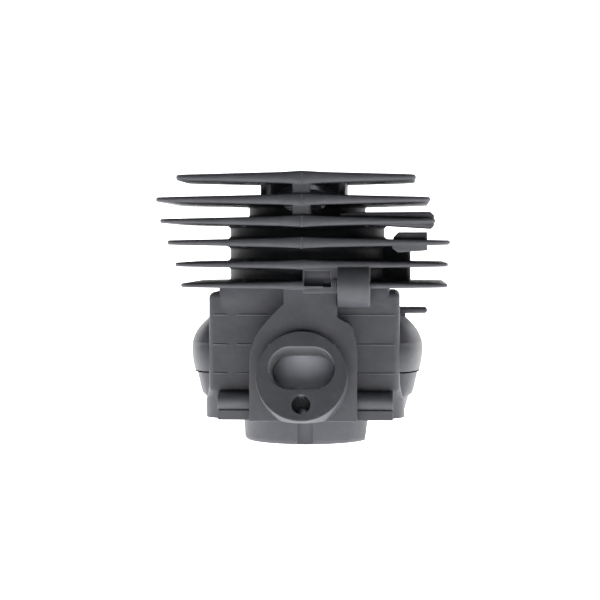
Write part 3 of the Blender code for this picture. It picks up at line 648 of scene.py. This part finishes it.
def fin_gap(lower, upper):
    """Heights of the space between two fins, measured near the middle of their reach."""
    low = FINS[lower][0] + FINS[lower][1] * 0.4
    high = FINS[upper][0] - FINS[upper][1] * 0.4
    return low, high


def barrel_parts():
    """The columns between the fins and the ribs that tie the fins together."""
    yield column("barrel_5_6", 34.3, 30.0, *fin_gap(5, 4), 1.6)
    yield column("barrel_4_5", 34.3, 30.0, *fin_gap(4, 3), 1.6)
    yield column("barrel_3_4", 34.3, 30.0, *fin_gap(3, 2), 1.6)
    yield column("head_2_3", 25.9, 26.0, *fin_gap(2, 1), 1.6)
    yield block("side_rib", (30.0, -6.0, 68.0), (45.9, 16.0, 87.4), 2.2)
    yield block("rib_2_3", (-4.1, -44.6, 95.4), (3.4, -20.0, 106.2), 1.0)
    yield block("rib_1_2", (-4.1, -45.0, 104.2), (3.4, -41.0, 115.0), 1.0)
    yield block("plug_block", (-17.8, -12.0, 103.5), (17.8, 10.0, 115.4), 1.6)
    for side in (-1, 1):
        inner, outer = sorted((side * 15.4, side * 18.0))
        yield block(f"head_wall_{side}", (inner, -38.0, 103.8), (outer, 0.0, 115.0), 0.9)


def parting_ridges():
    """The fine upright ridge that the die's parting plane left on the front of the upper fins."""
    for number, (height, middle, *_) in enumerate(FINS[:4]):
        half = middle * 0.5
        yield block(f"parting_ridge_{number + 1}", (-0.3, FIN_FRONT - 0.25, height - half - 0.5),
                    (0.2, FIN_FRONT + 1.2, height + half + 0.1), 0.12, 2)


barrel = list(barrel_parts()) + list(parting_ridges())
print("barrel pieces:", len(barrel))

# %% [markdown]
# ## Pads and the short fin
#
# Two pads thicken the fins on one side, where covers rest, and a short fin stands on the shoulder
# below them. They are rounded blocks let into the fins.

# %% Pads


def pad_parts():
    """Pads on the third and fourth fins, and the short fin."""
    outline = [(16.0, 95.6), (16.0, 99.6), (22.0, 100.2), (54.0, 100.4), (55.6, 98.8), (55.6, 94.4),
               (54.6, 93.3), (40.0, 94.2)]
    yield plate("pad_3", outline, -43.8, -14.0, "Y", 1.0, 4)
    upper = [(38.4, 86.0), (38.4, 89.6), (40.6, 91.8), (52.7, 91.8), (52.7, 86.0)]
    yield plate("pad_4", upper, -43.4, -26.0, "Y", 0.8, 4)
    lower = [(38.0, 87.6), (38.0, 85.0), (40.4, 83.2), (52.7, 84.0), (52.7, 87.6)]
    yield plate("pad_4_lip", lower, -46.4, -26.0, "Y", 0.5, 3)
    yield block("short_fin", (36.0, -8.0, 56.3), (53.3, 8.0, 58.9), 1.2, 6)
    yield block("short_fin_root", (36.0, -6.0, 50.0), (43.8, 6.0, 58.6), 0.7, 4)


pads = list(pad_parts())
print("pads:", len(pads))

# %% [markdown]
# ## Lower body
#
# Below the fins the casting is a squarish block round the bore, made by sliding die blocks. Where two
# slides met, a little metal squeezed between them and left a fine ridge across the face. The ridges
# stop short of one place, where they were ground away. On both sides the transfer ducts bulge out as
# half ovals, which a loft of level sections draws.

# %% Block, ducts, feet and spigot
BODY_HALF = 41.2
BODY_FRONT = 30.0
BODY_TOP = 68.8
RIDGES = (56.4, 43.6, 31.2)
GROUND_OFF = (-33.0, -29.0)
DUCT_LINE = ((50.1, 31.8), (51.0, 35.5), (51.5, 40.5), (50.9, 45.0), (49.3, 48.5), (46.7, 51.8),
             (44.0, 54.2), (41.4, 56.4))
DUCT_FOOT = ((43.0, 11.6), (45.2, 19.6), (46.9, 20.8), (47.8, 24.0), (49.2, 30.2), (49.5, 31.2))


def block_parts():
    """The block with its narrower top and the fine ridges across its front and rear."""
    yield block("block", (-BODY_HALF, -BODY_FRONT, 22.0), (BODY_HALF, BODY_FRONT, 66.2),
                2.8, 6)
    yield block("block_top", (-36.6, -BODY_FRONT - 0.02, 60.0), (36.6, BODY_FRONT + 0.02, BODY_TOP),
                1.0)
    for height in RIDGES:
        for end in (-1, 1):
            near, far = sorted((end * (BODY_FRONT - 1.0), end * (BODY_FRONT + 0.3)))
            for left, right in ((2.2 - BODY_HALF, GROUND_OFF[0]), (GROUND_OFF[1], BODY_HALF - 2.2)):
                yield block(f"ridge_{height}_{end}_{left}", (left, near, height - 0.28),
                            (right, far, height + 0.28), 0.22, 3)


def duct_sections():
    """Reach, height and half depth of a duct's level sections, from the base up."""
    for reach, height in DUCT_FOOT:
        yield reach, height, 15.0 + (height - BASE_Z) * 0.1
    for reach, height in smooth(DUCT_LINE, 2):
        yield reach, height, 28.0 * math.sqrt(1.0 - ((height - 38.0) / 24.0) ** 2)


def duct(side):
    """Outside of one transfer duct: half oval sections, with a fine seam at each slide's edge."""
    sections = list(duct_sections())
    for height in RIDGES[1:]:
        under = max((one for one in sections if one[1] < height + 0.7), key=lambda one: one[1])
        sections = [one for one in sections if not 0.0 < abs(one[1] - height) < 0.29]
        sections += [(under[0], height + step, under[2]) for step in (-0.299, 0.401)]
    sections.sort(key=lambda one: one[1])
    rings = []
    for reach, height, depth in sections:
        swell = max(reach - BODY_HALF + 1.0, 1.0)
        ring = [Vector((side * 30.0, depth, height)), Vector((side * 30.0, -depth, height))]
        for step in range(41):
            angle = math.radians(-90 + 180 * step / 40)
            ring.append(Vector((side * (reach - swell + swell * math.cos(angle)),
                                depth * math.sin(angle), height)))
        rings.append(ring)
    return loft(f"duct_{side}", rings)


def base_flange():
    """The flange round the base, whose top runs up into the block."""
    rings = []
    for half, height, corner in ((43.3, BASE_Z, 11.0), (43.3, 18.6, 10.0), (43.0, 19.6, 9.0),
                                 (42.4, 20.4, 8.0), (41.25, 26.0, 2.9)):
        rings.append([Vector((x, y, height))
                      for x, y in rounded_rectangle(-half, half, -BODY_FRONT, BODY_FRONT, corner)])
    return loft("base_flange", rings)


def foot_outline(end):
    """Section of a foot: a round roll on top of a short upright face."""
    roll = arc((-34.4, 19.6), 3.8, 90, 256, 14)
    line = [(-20.0, BASE_Z), (-20.0, 23.4)] + roll + [(-36.3, 15.6), (-36.3, BASE_Z)]
    return [(end * -depth, height) for depth, height in line]


def foot_parts():
    """Four feet that widen the base flange, two in front and two behind."""
    for end in (-1, 1):
        yield plate(f"foot_left_{end}", foot_outline(end), -36.6, -22.4, "X", 0.8, 4)
        yield plate(f"foot_right_{end}", foot_outline(end), 22.4, 38.4, "X", 0.8, 4)


def spigot():
    """The spigot that enters the crankcase, with its lead-in chamfer."""
    profile = [(0.0, 20.0), (28.3, 20.0), (28.3, 1.9), (28.0, 1.3), (27.1, 0.15), (26.6, 0.0),
               (0.0, 0.0)]
    return turned("spigot", profile, 160)


def body_parts():
    """Everything of the lower body."""
    yield from block_parts()
    yield base_flange()
    for side in (-1, 1):
        yield duct(side)
    yield from foot_parts()
    yield spigot()


body = list(body_parts())
print("body pieces:", len(body))

# %% [markdown]
# ## Intake side
#
# The intake passage leaves through an arch-shaped housing and a round flange that leans back by 15
# degrees, over which a rubber boot is clamped. Beside it, a half-round boss ties the two lowest fins
# together and takes a screw from the side, through a trough.

# %% Intake housing, flange and screw boss
INTAKE_RADIUS = 19.3
BOSS_LEFT = 15.0
TROUGH_END = 12.0
BOSS_RIGHT = 28.6
BOSS_RADIUS = 9.2
BOSS_CENTRE = (-41.5, 69.2)
BOSS_HOLE = (-44.6, 70.4)


def intake_parts():
    """Arch, flange disc, boss and web."""
    left = smooth([(-22.5, 36.0), (-22.2, 42.0), (-19.3, 49.6), (-12.6, 57.2), (-8.0, 61.6)], 2)
    right = smooth([(14.6, 56.2), (16.6, 54.6), (20.4, 53.2), (22.2, 48.0), (23.0, 41.0)], 2)
    outline = [(-22.7, BASE_Z)] + left + [(-8.0, BODY_TOP), (14.6, BODY_TOP)] + right
    outline += [(23.2, BASE_Z)]
    yield plate("housing", outline, -41.6, -24.0, "Y", 0.8, 4)
    yield disc()
    depth, height = BOSS_CENTRE
    front = arc((depth, height), BOSS_RADIUS, 90, 270, 28)
    section = [(-25.0, height + BOSS_RADIUS)] + front + [(-25.0, height - BOSS_RADIUS)]
    yield plate("screw_boss", section, BOSS_LEFT, BOSS_RIGHT, "X", 0.45, 3)
    yield block("boss_web", (0.4, FIN_FRONT + 0.3, 66.0), (16.0, -24.0, 78.0), 0.8, 4)


def disc():
    """The round intake flange, with a fine edge left by the facing cutter."""
    profile = [(0.0, 0.0), (INTAKE_RADIUS - 0.25, 0.0), (INTAKE_RADIUS, -0.25),
               (INTAKE_RADIUS, -14.0), (0.0, -14.0)]
    turn = INTAKE_OUT.to_track_quat("Z", "Y").to_matrix().to_4x4()
    return turned("intake_flange", profile, 128, Matrix.Translation(INTAKE_CENTRE) @ turn)


intake = list(intake_parts())
print("intake pieces:", len(intake))

# %% [markdown]
# ## Exhaust side
#
# Behind, a short duct ends in an oval flange for the muffler, held by two screws.

# %% Exhaust duct and flange


def exhaust_parts():
    """Duct, flange and the two webs that stiffen it."""
    duct = rounded_rectangle(-22.0, 22.0, 38.5, 64.5, 6.0)
    flange = rounded_rectangle(-32.0, 32.0, 39.5, 63.5, 11.9, 14)
    yield plate("exhaust_duct", duct, 24.0, EXHAUST_FACE - 3.0, "Y")
    yield plate("exhaust_flange", flange, EXHAUST_FACE - 7.0, EXHAUST_FACE, "Y", 0.5, 3)
    for side in (-1, 1):
        inner, outer = sorted((side * 20.0, side * 25.0))
        yield block(f"exhaust_web_{side}", (inner, 26.0, 49.0), (outer, EXHAUST_FACE - 4.0, 54.0), 1.8)


exhaust = list(exhaust_parts())
print("exhaust pieces:", len(exhaust))

# %% [markdown]
# ## Joining the casting and boring it
#
# All the solids become one skin, as the metal is one piece. Then the bores are cut, in the order a
# machine shop would work: cylinder bore, ports, impulse hole, plug seat and screw holes.

# %% Join the solids
casting = fins[1]
casting.name = "painted_casting"
others = [fins[0]] + fins[2:] + barrel + pads + body + intake + exhaust
combine(casting, others, "UNION")
print("joined casting:", triangles(casting), "triangles")

# %% Bore, ports and passages
INTAKE_PORT = (28.2, 18.4)
INTAKE_PORT_RISE = 3.3
INTAKE_WINDOW = (27.6, 23.7, 38.2)
EXHAUST_PORT = (34.0, 19.0)
EXHAUST_WINDOW = (32.0, CROWN_Z, 58.0)
TRANSFER_HALF = 11.0
TRANSFER_INNER = 30.5
TRANSFER_TOP = 54.5


def bore_tool():
    """Cylinder bore with a squish band and a domed chamber."""
    rise = 94.5 - DECK_Z
    dome = [(0.0, DECK_Z + 0.5 + rise)]
    for step in range(1, 13):
        angle = math.radians(90 * step / 12)
        dome.append((17.0 * math.sin(angle), DECK_Z + 0.5 + rise * math.cos(angle)))
    skirt = [(BORE_RADIUS, DECK_Z), (BORE_RADIUS, 0.9), (BORE_RADIUS + 0.9, -0.1),
             (BORE_RADIUS + 0.9, -1.0), (0.0, -1.0)]
    return turned("bore", dome + skirt, 192)


def intake_tool():
    """Oblong passage from the flange's face to the bore, waisted a little on the way."""
    mouth = INTAKE_CENTRE + INTAKE_UP * INTAKE_PORT_RISE
    width, low, high = INTAKE_WINDOW
    window = Vector((0.0, -24.0, (low + high) * 0.5))
    inward = (window - mouth).normalized()
    rings = []
    for step in range(9):
        share = step / 8
        centre = mouth.lerp(window, share)
        ease = share * share * (3 - 2 * share)
        across = INTAKE_PORT[0] + (width - INTAKE_PORT[0]) * ease
        tall = INTAKE_PORT[1] + (high - low - INTAKE_PORT[1]) * ease
        up = INTAKE_UP.lerp(Vector((0.0, 0.0, 1.0)), share)
        rings.append([centre + Vector((x, 0.0, 0.0)) + up * z for x, z in oblong(across, tall)])
    rings.insert(0, [point - inward * 3.0 for point in rings[0]])
    rings.append([point + inward * 4.0 for point in rings[-1]])
    return loft("intake_passage", rings)


def exhaust_tool():
    """Oblong exhaust passage that widens toward the flange."""
    width, low, high = EXHAUST_WINDOW
    rings = []
    for step in range(9):
        share = step / 8
        ease = share * share * (3 - 2 * share)
        across = width + (EXHAUST_PORT[0] - width) * ease
        tall = (high - low) + (EXHAUST_PORT[1] - (high - low)) * ease
        level = (low + high) * 0.5 * (1 - share) + EXHAUST_Z * share
        depth = 22.0 + (EXHAUST_FACE + 0.5 - 22.0) * share
        rings.append([Vector((x, depth, level + z)) for x, z in oblong(across, tall)])
    rings.append([point + Vector((0.0, 2.0, 0.0)) for point in rings[-1]])
    return loft("exhaust_passage", rings)


def transfer_tools():
    """Ducts up the sides and the windows that let them into the bore."""
    for side in (-1, 1):
        line = smooth([(39.8, 6.0), (39.8, 13.0), (41.6, 22.0), (43.8, 29.0), (46.4, 35.0),
                       (47.6, 40.5), (46.8, 45.5), (44.0, 49.5), (38.0, TRANSFER_TOP - 2.0),
                       (TRANSFER_INNER, TRANSFER_TOP - 2.0)], 1)
        outline = [(side * x, z) for x, z in [(TRANSFER_INNER, 6.0)] + line]
        yield plate(f"transfer_duct_{side}", outline, -TRANSFER_HALF, TRANSFER_HALF, "Y", 1.2, 3)
        inner, outer = sorted((side * 20.0, side * (TRANSFER_INNER + 6.0)))
        yield block(f"transfer_port_{side}", (inner, -TRANSFER_HALF, CROWN_Z),
                    (outer, TRANSFER_HALF, TRANSFER_TOP), 1.6, 4)


combine(casting, [bore_tool(), intake_tool(), exhaust_tool(), *transfer_tools()], "DIFFERENCE")
print("bored casting:", triangles(casting), "triangles")

# %% Holes, plug seat and spigot
PLUG_SEAT = PLUG_SPOT + PLUG_OUT * 1.5
PLUG_CLEARANCE = 15.3
BASE_SCREW = (31.0, 22.0)
SHAFT_RADIUS = 5.0
SCREW_RADIUS = 3.0
SHAFT_TOP = 125.0
MUFFLER_SCREW = 25.0
TAPPED_RADIUS = 2.5
SPIGOT_FLATS = {-1: (28.4, 27.0), 1: (27.5, 25.7)}


def impulse_tools():
    """Pocket and slanting hole that carry crankcase pulses to the intake boot."""
    mouth = INTAKE_CENTRE - INTAKE_UP * 12.1
    pocket = mouth - INTAKE_OUT * 9.0
    yield bar("impulse_pocket", mouth + INTAKE_OUT, pocket, 4.05, 48)
    yield bar("impulse_hole", pocket + INTAKE_OUT - INTAKE_UP * 1.7, (1.5, -27.0, 10.8), 2.0, 32)
    yield block("base_plane", (-24.0, -70.0, -5.0), (24.0, -30.5, BASE_Z - 0.02), 0.2, 1)
    yield block("impulse_groove", (-2.8, -31.0, -1.0), (3.9, -26.6, BASE_Z - 0.02), 0.3, 2)


def plug_tools():
    """Clearance for the plug's body, its spot face and its hole."""
    yield bar("plug_clearance", PLUG_SEAT, PLUG_SEAT + PLUG_OUT * 45.0, PLUG_CLEARANCE, 96)
    yield bar("plug_spot", PLUG_SPOT, PLUG_SEAT + PLUG_OUT, 10.5, 72)
    yield bar("plug_hole", PLUG_SEAT - PLUG_OUT * 17.0, PLUG_SEAT, 6.9, 64)


def screw_tools():
    """Base screw shafts, flange holes, exhaust screw holes and the boss's hole and trough."""
    for x_side in (-1, 1):
        for y_side in (-1, 1):
            x, y = x_side * BASE_SCREW[0], y_side * BASE_SCREW[1]
            yield bar(f"shaft_{x_side}_{y_side}", (x, y, BASE_Z + 8.0), (x, y, SHAFT_TOP),
                      SHAFT_RADIUS, 48)
            yield bar(f"hole_{x_side}_{y_side}", (x, y, BASE_Z - 2.0), (x, y, BASE_Z + 9.0),
                      SCREW_RADIUS, 32)
        x = x_side * MUFFLER_SCREW
        yield bar(f"muffler_hole_{x_side}", (x, EXHAUST_FACE - 14.0, EXHAUST_Z),
                  (x, EXHAUST_FACE + 1.0, EXHAUST_Z), TAPPED_RADIUS, 32)
    depth, height = BOSS_HOLE
    trough = (depth - 0.8, height + 1.9)
    yield bar("boss_trough", (0.9, *trough), (TROUGH_END, *trough), 3.4, 48)
    yield bar("boss_hole", (9.0, depth, height), (25.0, depth, height), TAPPED_RADIUS, 36)


def spigot_flats():
    """Flats on the spigot's sides, drawn in a little toward the rim."""
    for side in (-1, 1):
        top, bottom = SPIGOT_FLATS[side]
        outline = [(side * top, BASE_Z - 0.02), (side * 34.0, BASE_Z - 0.02), (side * 34.0, -1.0),
                   (side * bottom, -1.0)]
        yield plate(f"spigot_flat_{side}", outline, -30.0, 30.0, "Y")


combine(casting, [*impulse_tools(), *plug_tools(), *screw_tools(), *spigot_flats()], "DIFFERENCE")
print("finished casting:", triangles(casting), "triangles")

# %% [markdown]
# ## Which surface has which finish
#
# A machinist's map: the passages stay bare, the gasket faces and plug seat are milled, the bore is
# plated and everything else is painted. Each face is put in its class by where it lies.

# %% Sort the casting's faces by finish


def finish_of(place, normal):
    """0 painted, 1 bare, 2 milled or 3 plated, for a face at a place in millimetres."""
    from_axis = math.hypot(place.x, place.y)
    if from_axis < BORE_RADIUS + 0.1 and -0.2 < place.z < 97.0:
        return 3 if place.z < DECK_Z - 0.2 else 2
    if abs(place.x) < 14.4 and -49.6 < place.y < -24.0 and 22.6 < place.z < 44.3:
        if normal.dot(INTAKE_OUT) < 0.9:
            return 1
    if abs(place.x) < 17.4 and 22.0 < place.y < EXHAUST_FACE - 0.1 and 41.5 < place.z < 61.2:
        return 1
    outward_x = normal.x * (1 if place.x > 0 else -1)
    if abs(place.y) < 11.1 and 30.3 < abs(place.x) < 48.0 and 12.1 < place.z < 54.6:
        if abs(place.x) < 31.0 or outward_x < -0.1 or abs(normal.y) > 0.9:
            return 1
    if 24.0 < from_axis < 37.0 and abs(place.y) < 11.1 and 45.0 < place.z < 54.6:
        return 1
    from_seat = place - PLUG_SEAT
    beside = (from_seat - PLUG_OUT * from_seat.dot(PLUG_OUT)).length
    deep = from_seat.dot(PLUG_OUT)
    if deep < 0.05 and beside < PLUG_CLEARANCE and from_seat.length < 24.0:
        if normal.dot(PLUG_OUT) > 0.9 or beside < 10.6:
            return 2
    if normal.z < -0.9 and abs(place.z - BASE_Z) < 0.1 or normal.z < -0.5 and place.z < 0.2:
        return 2
    if normal.y > 0.9 and place.y > EXHAUST_FACE - 0.05:
        return 2
    return 0


casting.data.materials.clear()
for finish in (ENAMEL, BARE, MILLED, PLATED):
    casting.data.materials.append(finish)
counts = [0, 0, 0, 0]
for face in casting.data.polygons:
    face.material_index = finish_of(face.center / MM, face.normal)
    counts[face.material_index] += 1
smooth_shade(casting, 32)
print("faces painted, bare, milled, plated:", counts)
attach(casting, "casting")
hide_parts("cylinder_casting")

# %% [markdown]
# ## Screw threads
#
# A tapped hole shows as fine ridges. A helix swept with a small four-sided section makes them, and it
# repeats by rule, so one geometry tree serves every hole: plug, boss and muffler screws.

# %% Geometry tree for an internal thread
THREAD_INPUTS = ("Radius", "Pitch", "Turns", "Depth")


def thread_tree():
    """A node group that sweeps a four-sided ridge along a helix."""
    tree, given = open_tree("internal_thread", THREAD_INPUTS)
    radius = maths(tree, "MULTIPLY", given["Radius"], MM)
    pitch = maths(tree, "MULTIPLY", given["Pitch"], MM)
    length = maths(tree, "MULTIPLY", pitch, given["Turns"])
    depth = maths(tree, "MULTIPLY", given["Depth"], MM)
    helix = add_node(tree, "GeometryNodeCurveSpiral", None,
                     {"Resolution": 28, "Rotations": given["Turns"], "Start Radius": radius,
                      "End Radius": radius, "Height": length})[0]
    section = add_node(tree, "GeometryNodeCurvePrimitiveCircle", None,
                       {"Resolution": 4, "Radius": depth})[0]
    ridge = add_node(tree, "GeometryNodeCurveToMesh", None,
                     {"Curve": helix, "Profile Curve": section, "Fill Caps": True})[0]
    return close_tree(tree, ridge, given)


THREAD_TREE = thread_tree()


def thread(name, start, along, radius, pitch, turns, look):
    """A thread from a point in a direction, riding on the casting."""
    made = grow(name, THREAD_TREE, {"Radius": radius, "Pitch": pitch, "Turns": turns,
                                    "Depth": pitch * 0.42, "Material": look})
    turn = Vector(along).to_track_quat("Z", "Y").to_matrix().to_4x4()
    made.data.transform(Matrix.Translation(Vector(start) * MM) @ turn)
    outward(made)
    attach(made, "casting")
    return made


def cut_threads():
    """Every tapped hole's thread."""
    depth, height = BOSS_HOLE
    yield thread("boss_thread", (TROUGH_END + 0.4, depth, height), (1, 0, 0), 2.45, 0.8, 14.0, ENAMEL)
    yield thread("plug_thread", PLUG_SPOT - PLUG_OUT * 10.5, PLUG_OUT, 6.9, 1.25, 8.0, MILLED)
    for side in (-1, 1):
        start = (side * MUFFLER_SCREW, EXHAUST_FACE - 12.0, EXHAUST_Z)
        yield thread(f"muffler_thread_{side + 2}", start, (0, 1, 0), TAPPED_RADIUS, 0.8, 14.0,
                     MILLED)


threads = list(cut_threads())
print("threads:", [piece.name for piece in threads])

# %% [markdown]
# ## Piston
#
# The piston is turned: flat crown, two ring grooves, a skirt with a slight chamfer, hollow inside
# with two bosses for the pin. It replaces its coarse stand-in with 192 steps round, because its skirt
# shows through the intake port and must look truly round.

# %% Turn and bore the piston
PISTON_RADIUS = 24.6
GROOVE_TOPS = (1.8, 5.2)
GROOVE_HEIGHT = 1.9
CAGE_HALF = 7.6


def piston_blank():
    """Outer shape with its ring grooves."""
    top, bottom = CROWN_Z, piston_low.z
    land = PISTON_RADIUS - 0.2
    points = [(0.0, top), (land - 0.6, top), (land - 0.15, top - 0.2), (land, top - 0.6)]
    for drop in GROOVE_TOPS:
        high, low = top - drop, top - drop - GROOVE_HEIGHT
        points += [(land, high), (21.9, high), (21.9, low), (land, low)]
    points += [(land, top - 8.6), (PISTON_RADIUS, top - 9.5), (PISTON_RADIUS, bottom + 0.8)]
    points += [(PISTON_RADIUS - 0.6, bottom), (0.0, bottom)]
    return turned("piston_body", points, 192)


def piston_hollow():
    """The space inside the piston."""
    top, bottom = CROWN_Z, piston_low.z
    points = [(0.0, top - 5.5), (16.0, top - 5.5), (18.6, top - 6.2), (19.5, top - 8.0),
              (19.5, top - 11.5), (20.4, top - 13.4), (22.3, top - 14.8), (22.3, bottom + 0.4),
              (22.9, bottom - 1.0), (0.0, bottom - 1.0)]
    return turned("piston_hollow", points, 128)


piston = piston_blank()
combine(piston, [piston_hollow()], "DIFFERENCE")
bosses = []
for side in (-1, 1):
    near, far = side * (CAGE_HALF + 0.6), side * 21.6
    bosses.append(bar(f"pin_boss_{side}", (near, 0.0, PIN_Z), (far, 0.0, PIN_Z), 9.5, 64))
    low, high = sorted((side * 11.0, side * 20.0))
    bosses.append(block(f"boss_rib_{side}", (low, -4.0, PIN_Z + 6.0),
                        (high, 4.0, CROWN_Z - 5.0), 0.8))
combine(piston, bosses, "UNION")
cuts = [bar("pin_bore", (-30.0, 0.0, PIN_Z), (30.0, 0.0, PIN_Z), 6.3, 64)]
for side in (-1, 1):
    cuts.append(bar(f"clip_groove_{side}", (side * 19.65, 0, PIN_Z), (side * 21.55, 0, PIN_Z), 7.3, 64))
    low, high = sorted((side * 15.0, side * 30.0))
    cuts.append(block(f"skirt_arch_{side}", (low, -11.0, piston_low.z - 8.0),
                      (high, 11.0, PIN_Z - 10.2), 3.0, 6))
for number in (0, 1):
    angle = math.radians((-55, -125)[number])
    across = Vector((math.cos(angle), math.sin(angle), 0.0))
    middle = Vector((0.0, 0.0, CROWN_Z - GROOVE_TOPS[number] - GROOVE_HEIGHT * 0.5))
    cuts.append(bar(f"ring_pin_seat_{number}", middle + across * 20.2, middle + across * 26.0, 1.0, 24))
combine(piston, cuts, "DIFFERENCE")
piston.data.materials.clear()
piston.data.materials.append(PISTON_ALLOY)
smooth_shade(piston, 30)
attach(piston, "piston_set")
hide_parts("piston")
print("piston:", triangles(piston), "triangles")

# %% [markdown]
# ## Steel parts inside
#
# Rings, pins, circlips, cage and needle rollers keep their exact frame solids and only get their
# finishes.

# %% Finishes for the parts carried over
CARRIED = {"piston_ring_upper": RING_IRON, "piston_ring_lower": RING_IRON,
           "ring_locating_pin_upper": GROUND_STEEL, "ring_locating_pin_lower": GROUND_STEEL,
           "wrist_pin": GROUND_STEEL, "circlip_left": SPRING_STEEL, "circlip_right": SPRING_STEEL,
           "small_end_bearing_cage": CAGE_STEEL}
for number in range(1, 13):
    CARRIED[f"needle_roller_{number:02d}"] = GROUND_STEEL
for name, look in CARRIED.items():
    node = frame["nodes"][name]
    node.data.materials.clear()
    node.data.materials.append(look)
print("carried over:", len(CARRIED))

# %% [markdown]
# ## Stage, light and camera
#
# The object stands on a white sweep that curves up behind it and glows, like the top of a light
# table, so it lights the fins from below. One large softbox hangs over and behind the object. The
# room stays dark, so surfaces that face the camera do too, and the floor ends a short way in front.

# %% White sweep
PAPER_GLOW = 2.1
ROOM_GLOW = 0.04


def sweep():
    """A floor that curves up into a wall, five metres wide."""
    line = [(-0.42, 0.0)] + arc((1.2, 0.8), 0.8, 270, 360, 12) + [(2.0, 2.6)]
    bm = bmesh.new()
    rows = [[bm.verts.new((side, depth, height)) for side in (-2.5, 2.5)] for depth, height in line]
    for near, far in zip(rows, rows[1:]):
        bm.faces.new((near[0], near[1], far[1], far[0]))
    mesh = bpy.data.meshes.new("white_sweep")
    bm.to_mesh(mesh)
    bm.free()
    made = bpy.data.objects.new("white_sweep", mesh)
    made.data.shade_smooth()
    bpy.context.scene.collection.objects.link(made)
    return made


def paper():
    """Matt white background paper with a trace of fibre."""
    made, tree, place = new_material("matt_white_paper")
    fibre = noise(tree, place, 300.0)
    colour = tint(tree, fibre, linear("#F4F4F4"), linear("#F8F8F8"))
    cover(tree, {"Base Color": colour, "Roughness": 0.9, "Emission Color": colour,
                 "Emission Strength": PAPER_GLOW})
    return made


floor = sweep()
floor.data.materials.append(paper())
print("stage ready")

# %% Lights


def softbox(name, place, aim, size, power):
    """A square area light aimed at a point."""
    light = bpy.data.lights.new(name, "AREA")
    light.shape = "RECTANGLE"
    light.size, light.size_y = size
    light.energy = power
    made = bpy.data.objects.new(name, light)
    made.location = place
    made.rotation_euler = (Vector(aim) - Vector(place)).to_track_quat("-Z", "Y").to_euler()
    bpy.context.scene.collection.objects.link(made)
    return made


middle = Vector((0.0, 0.0, cast_high.z * 0.5 * MM))
softbox("overhead_softbox", (0.0, 0.55, 0.9), middle, (1.2, 0.7), 14.0)
world = bpy.data.worlds.new("studio_air")
world.use_nodes = True
backdrop = world.node_tree.nodes["Background"]
backdrop.inputs["Color"].default_value = (1.0, 1.0, 1.0, 1.0)
seen = add_node(world.node_tree, "ShaderNodeLightPath")["Is Camera Ray"]
glow = add_node(world.node_tree, "ShaderNodeMapRange", None, {0: seen, 3: ROOM_GLOW, 4: 1.0})[0]
world.node_tree.links.new(glow, backdrop.inputs["Strength"])
bpy.context.scene.world = world
bpy.context.scene.view_settings.view_transform = "Standard"
print("lights:", [item.name for item in bpy.data.lights])

# %% Camera
CAMERA_TURN = 3.0
CAMERA_DISTANCE = 797.0
CAMERA_HEIGHT = 85.5
camera = bpy.data.cameras.new("camera")
camera.lens = 107.1
camera.sensor_width = 36.0
camera.clip_start = 0.01
viewer = bpy.data.objects.new("camera", camera)
turn = math.radians(CAMERA_TURN)
viewer.location = Vector((CAMERA_DISTANCE * math.sin(turn), -CAMERA_DISTANCE * math.cos(turn),
                          CAMERA_HEIGHT)) * MM
viewer.rotation_euler = (math.radians(90.0 - 1.70), 0.0, math.radians(CAMERA_TURN + 0.24))
bpy.context.scene.collection.objects.link(viewer)
bpy.context.scene.camera = viewer
print("camera at", [round(value, 3) for value in viewer.location])
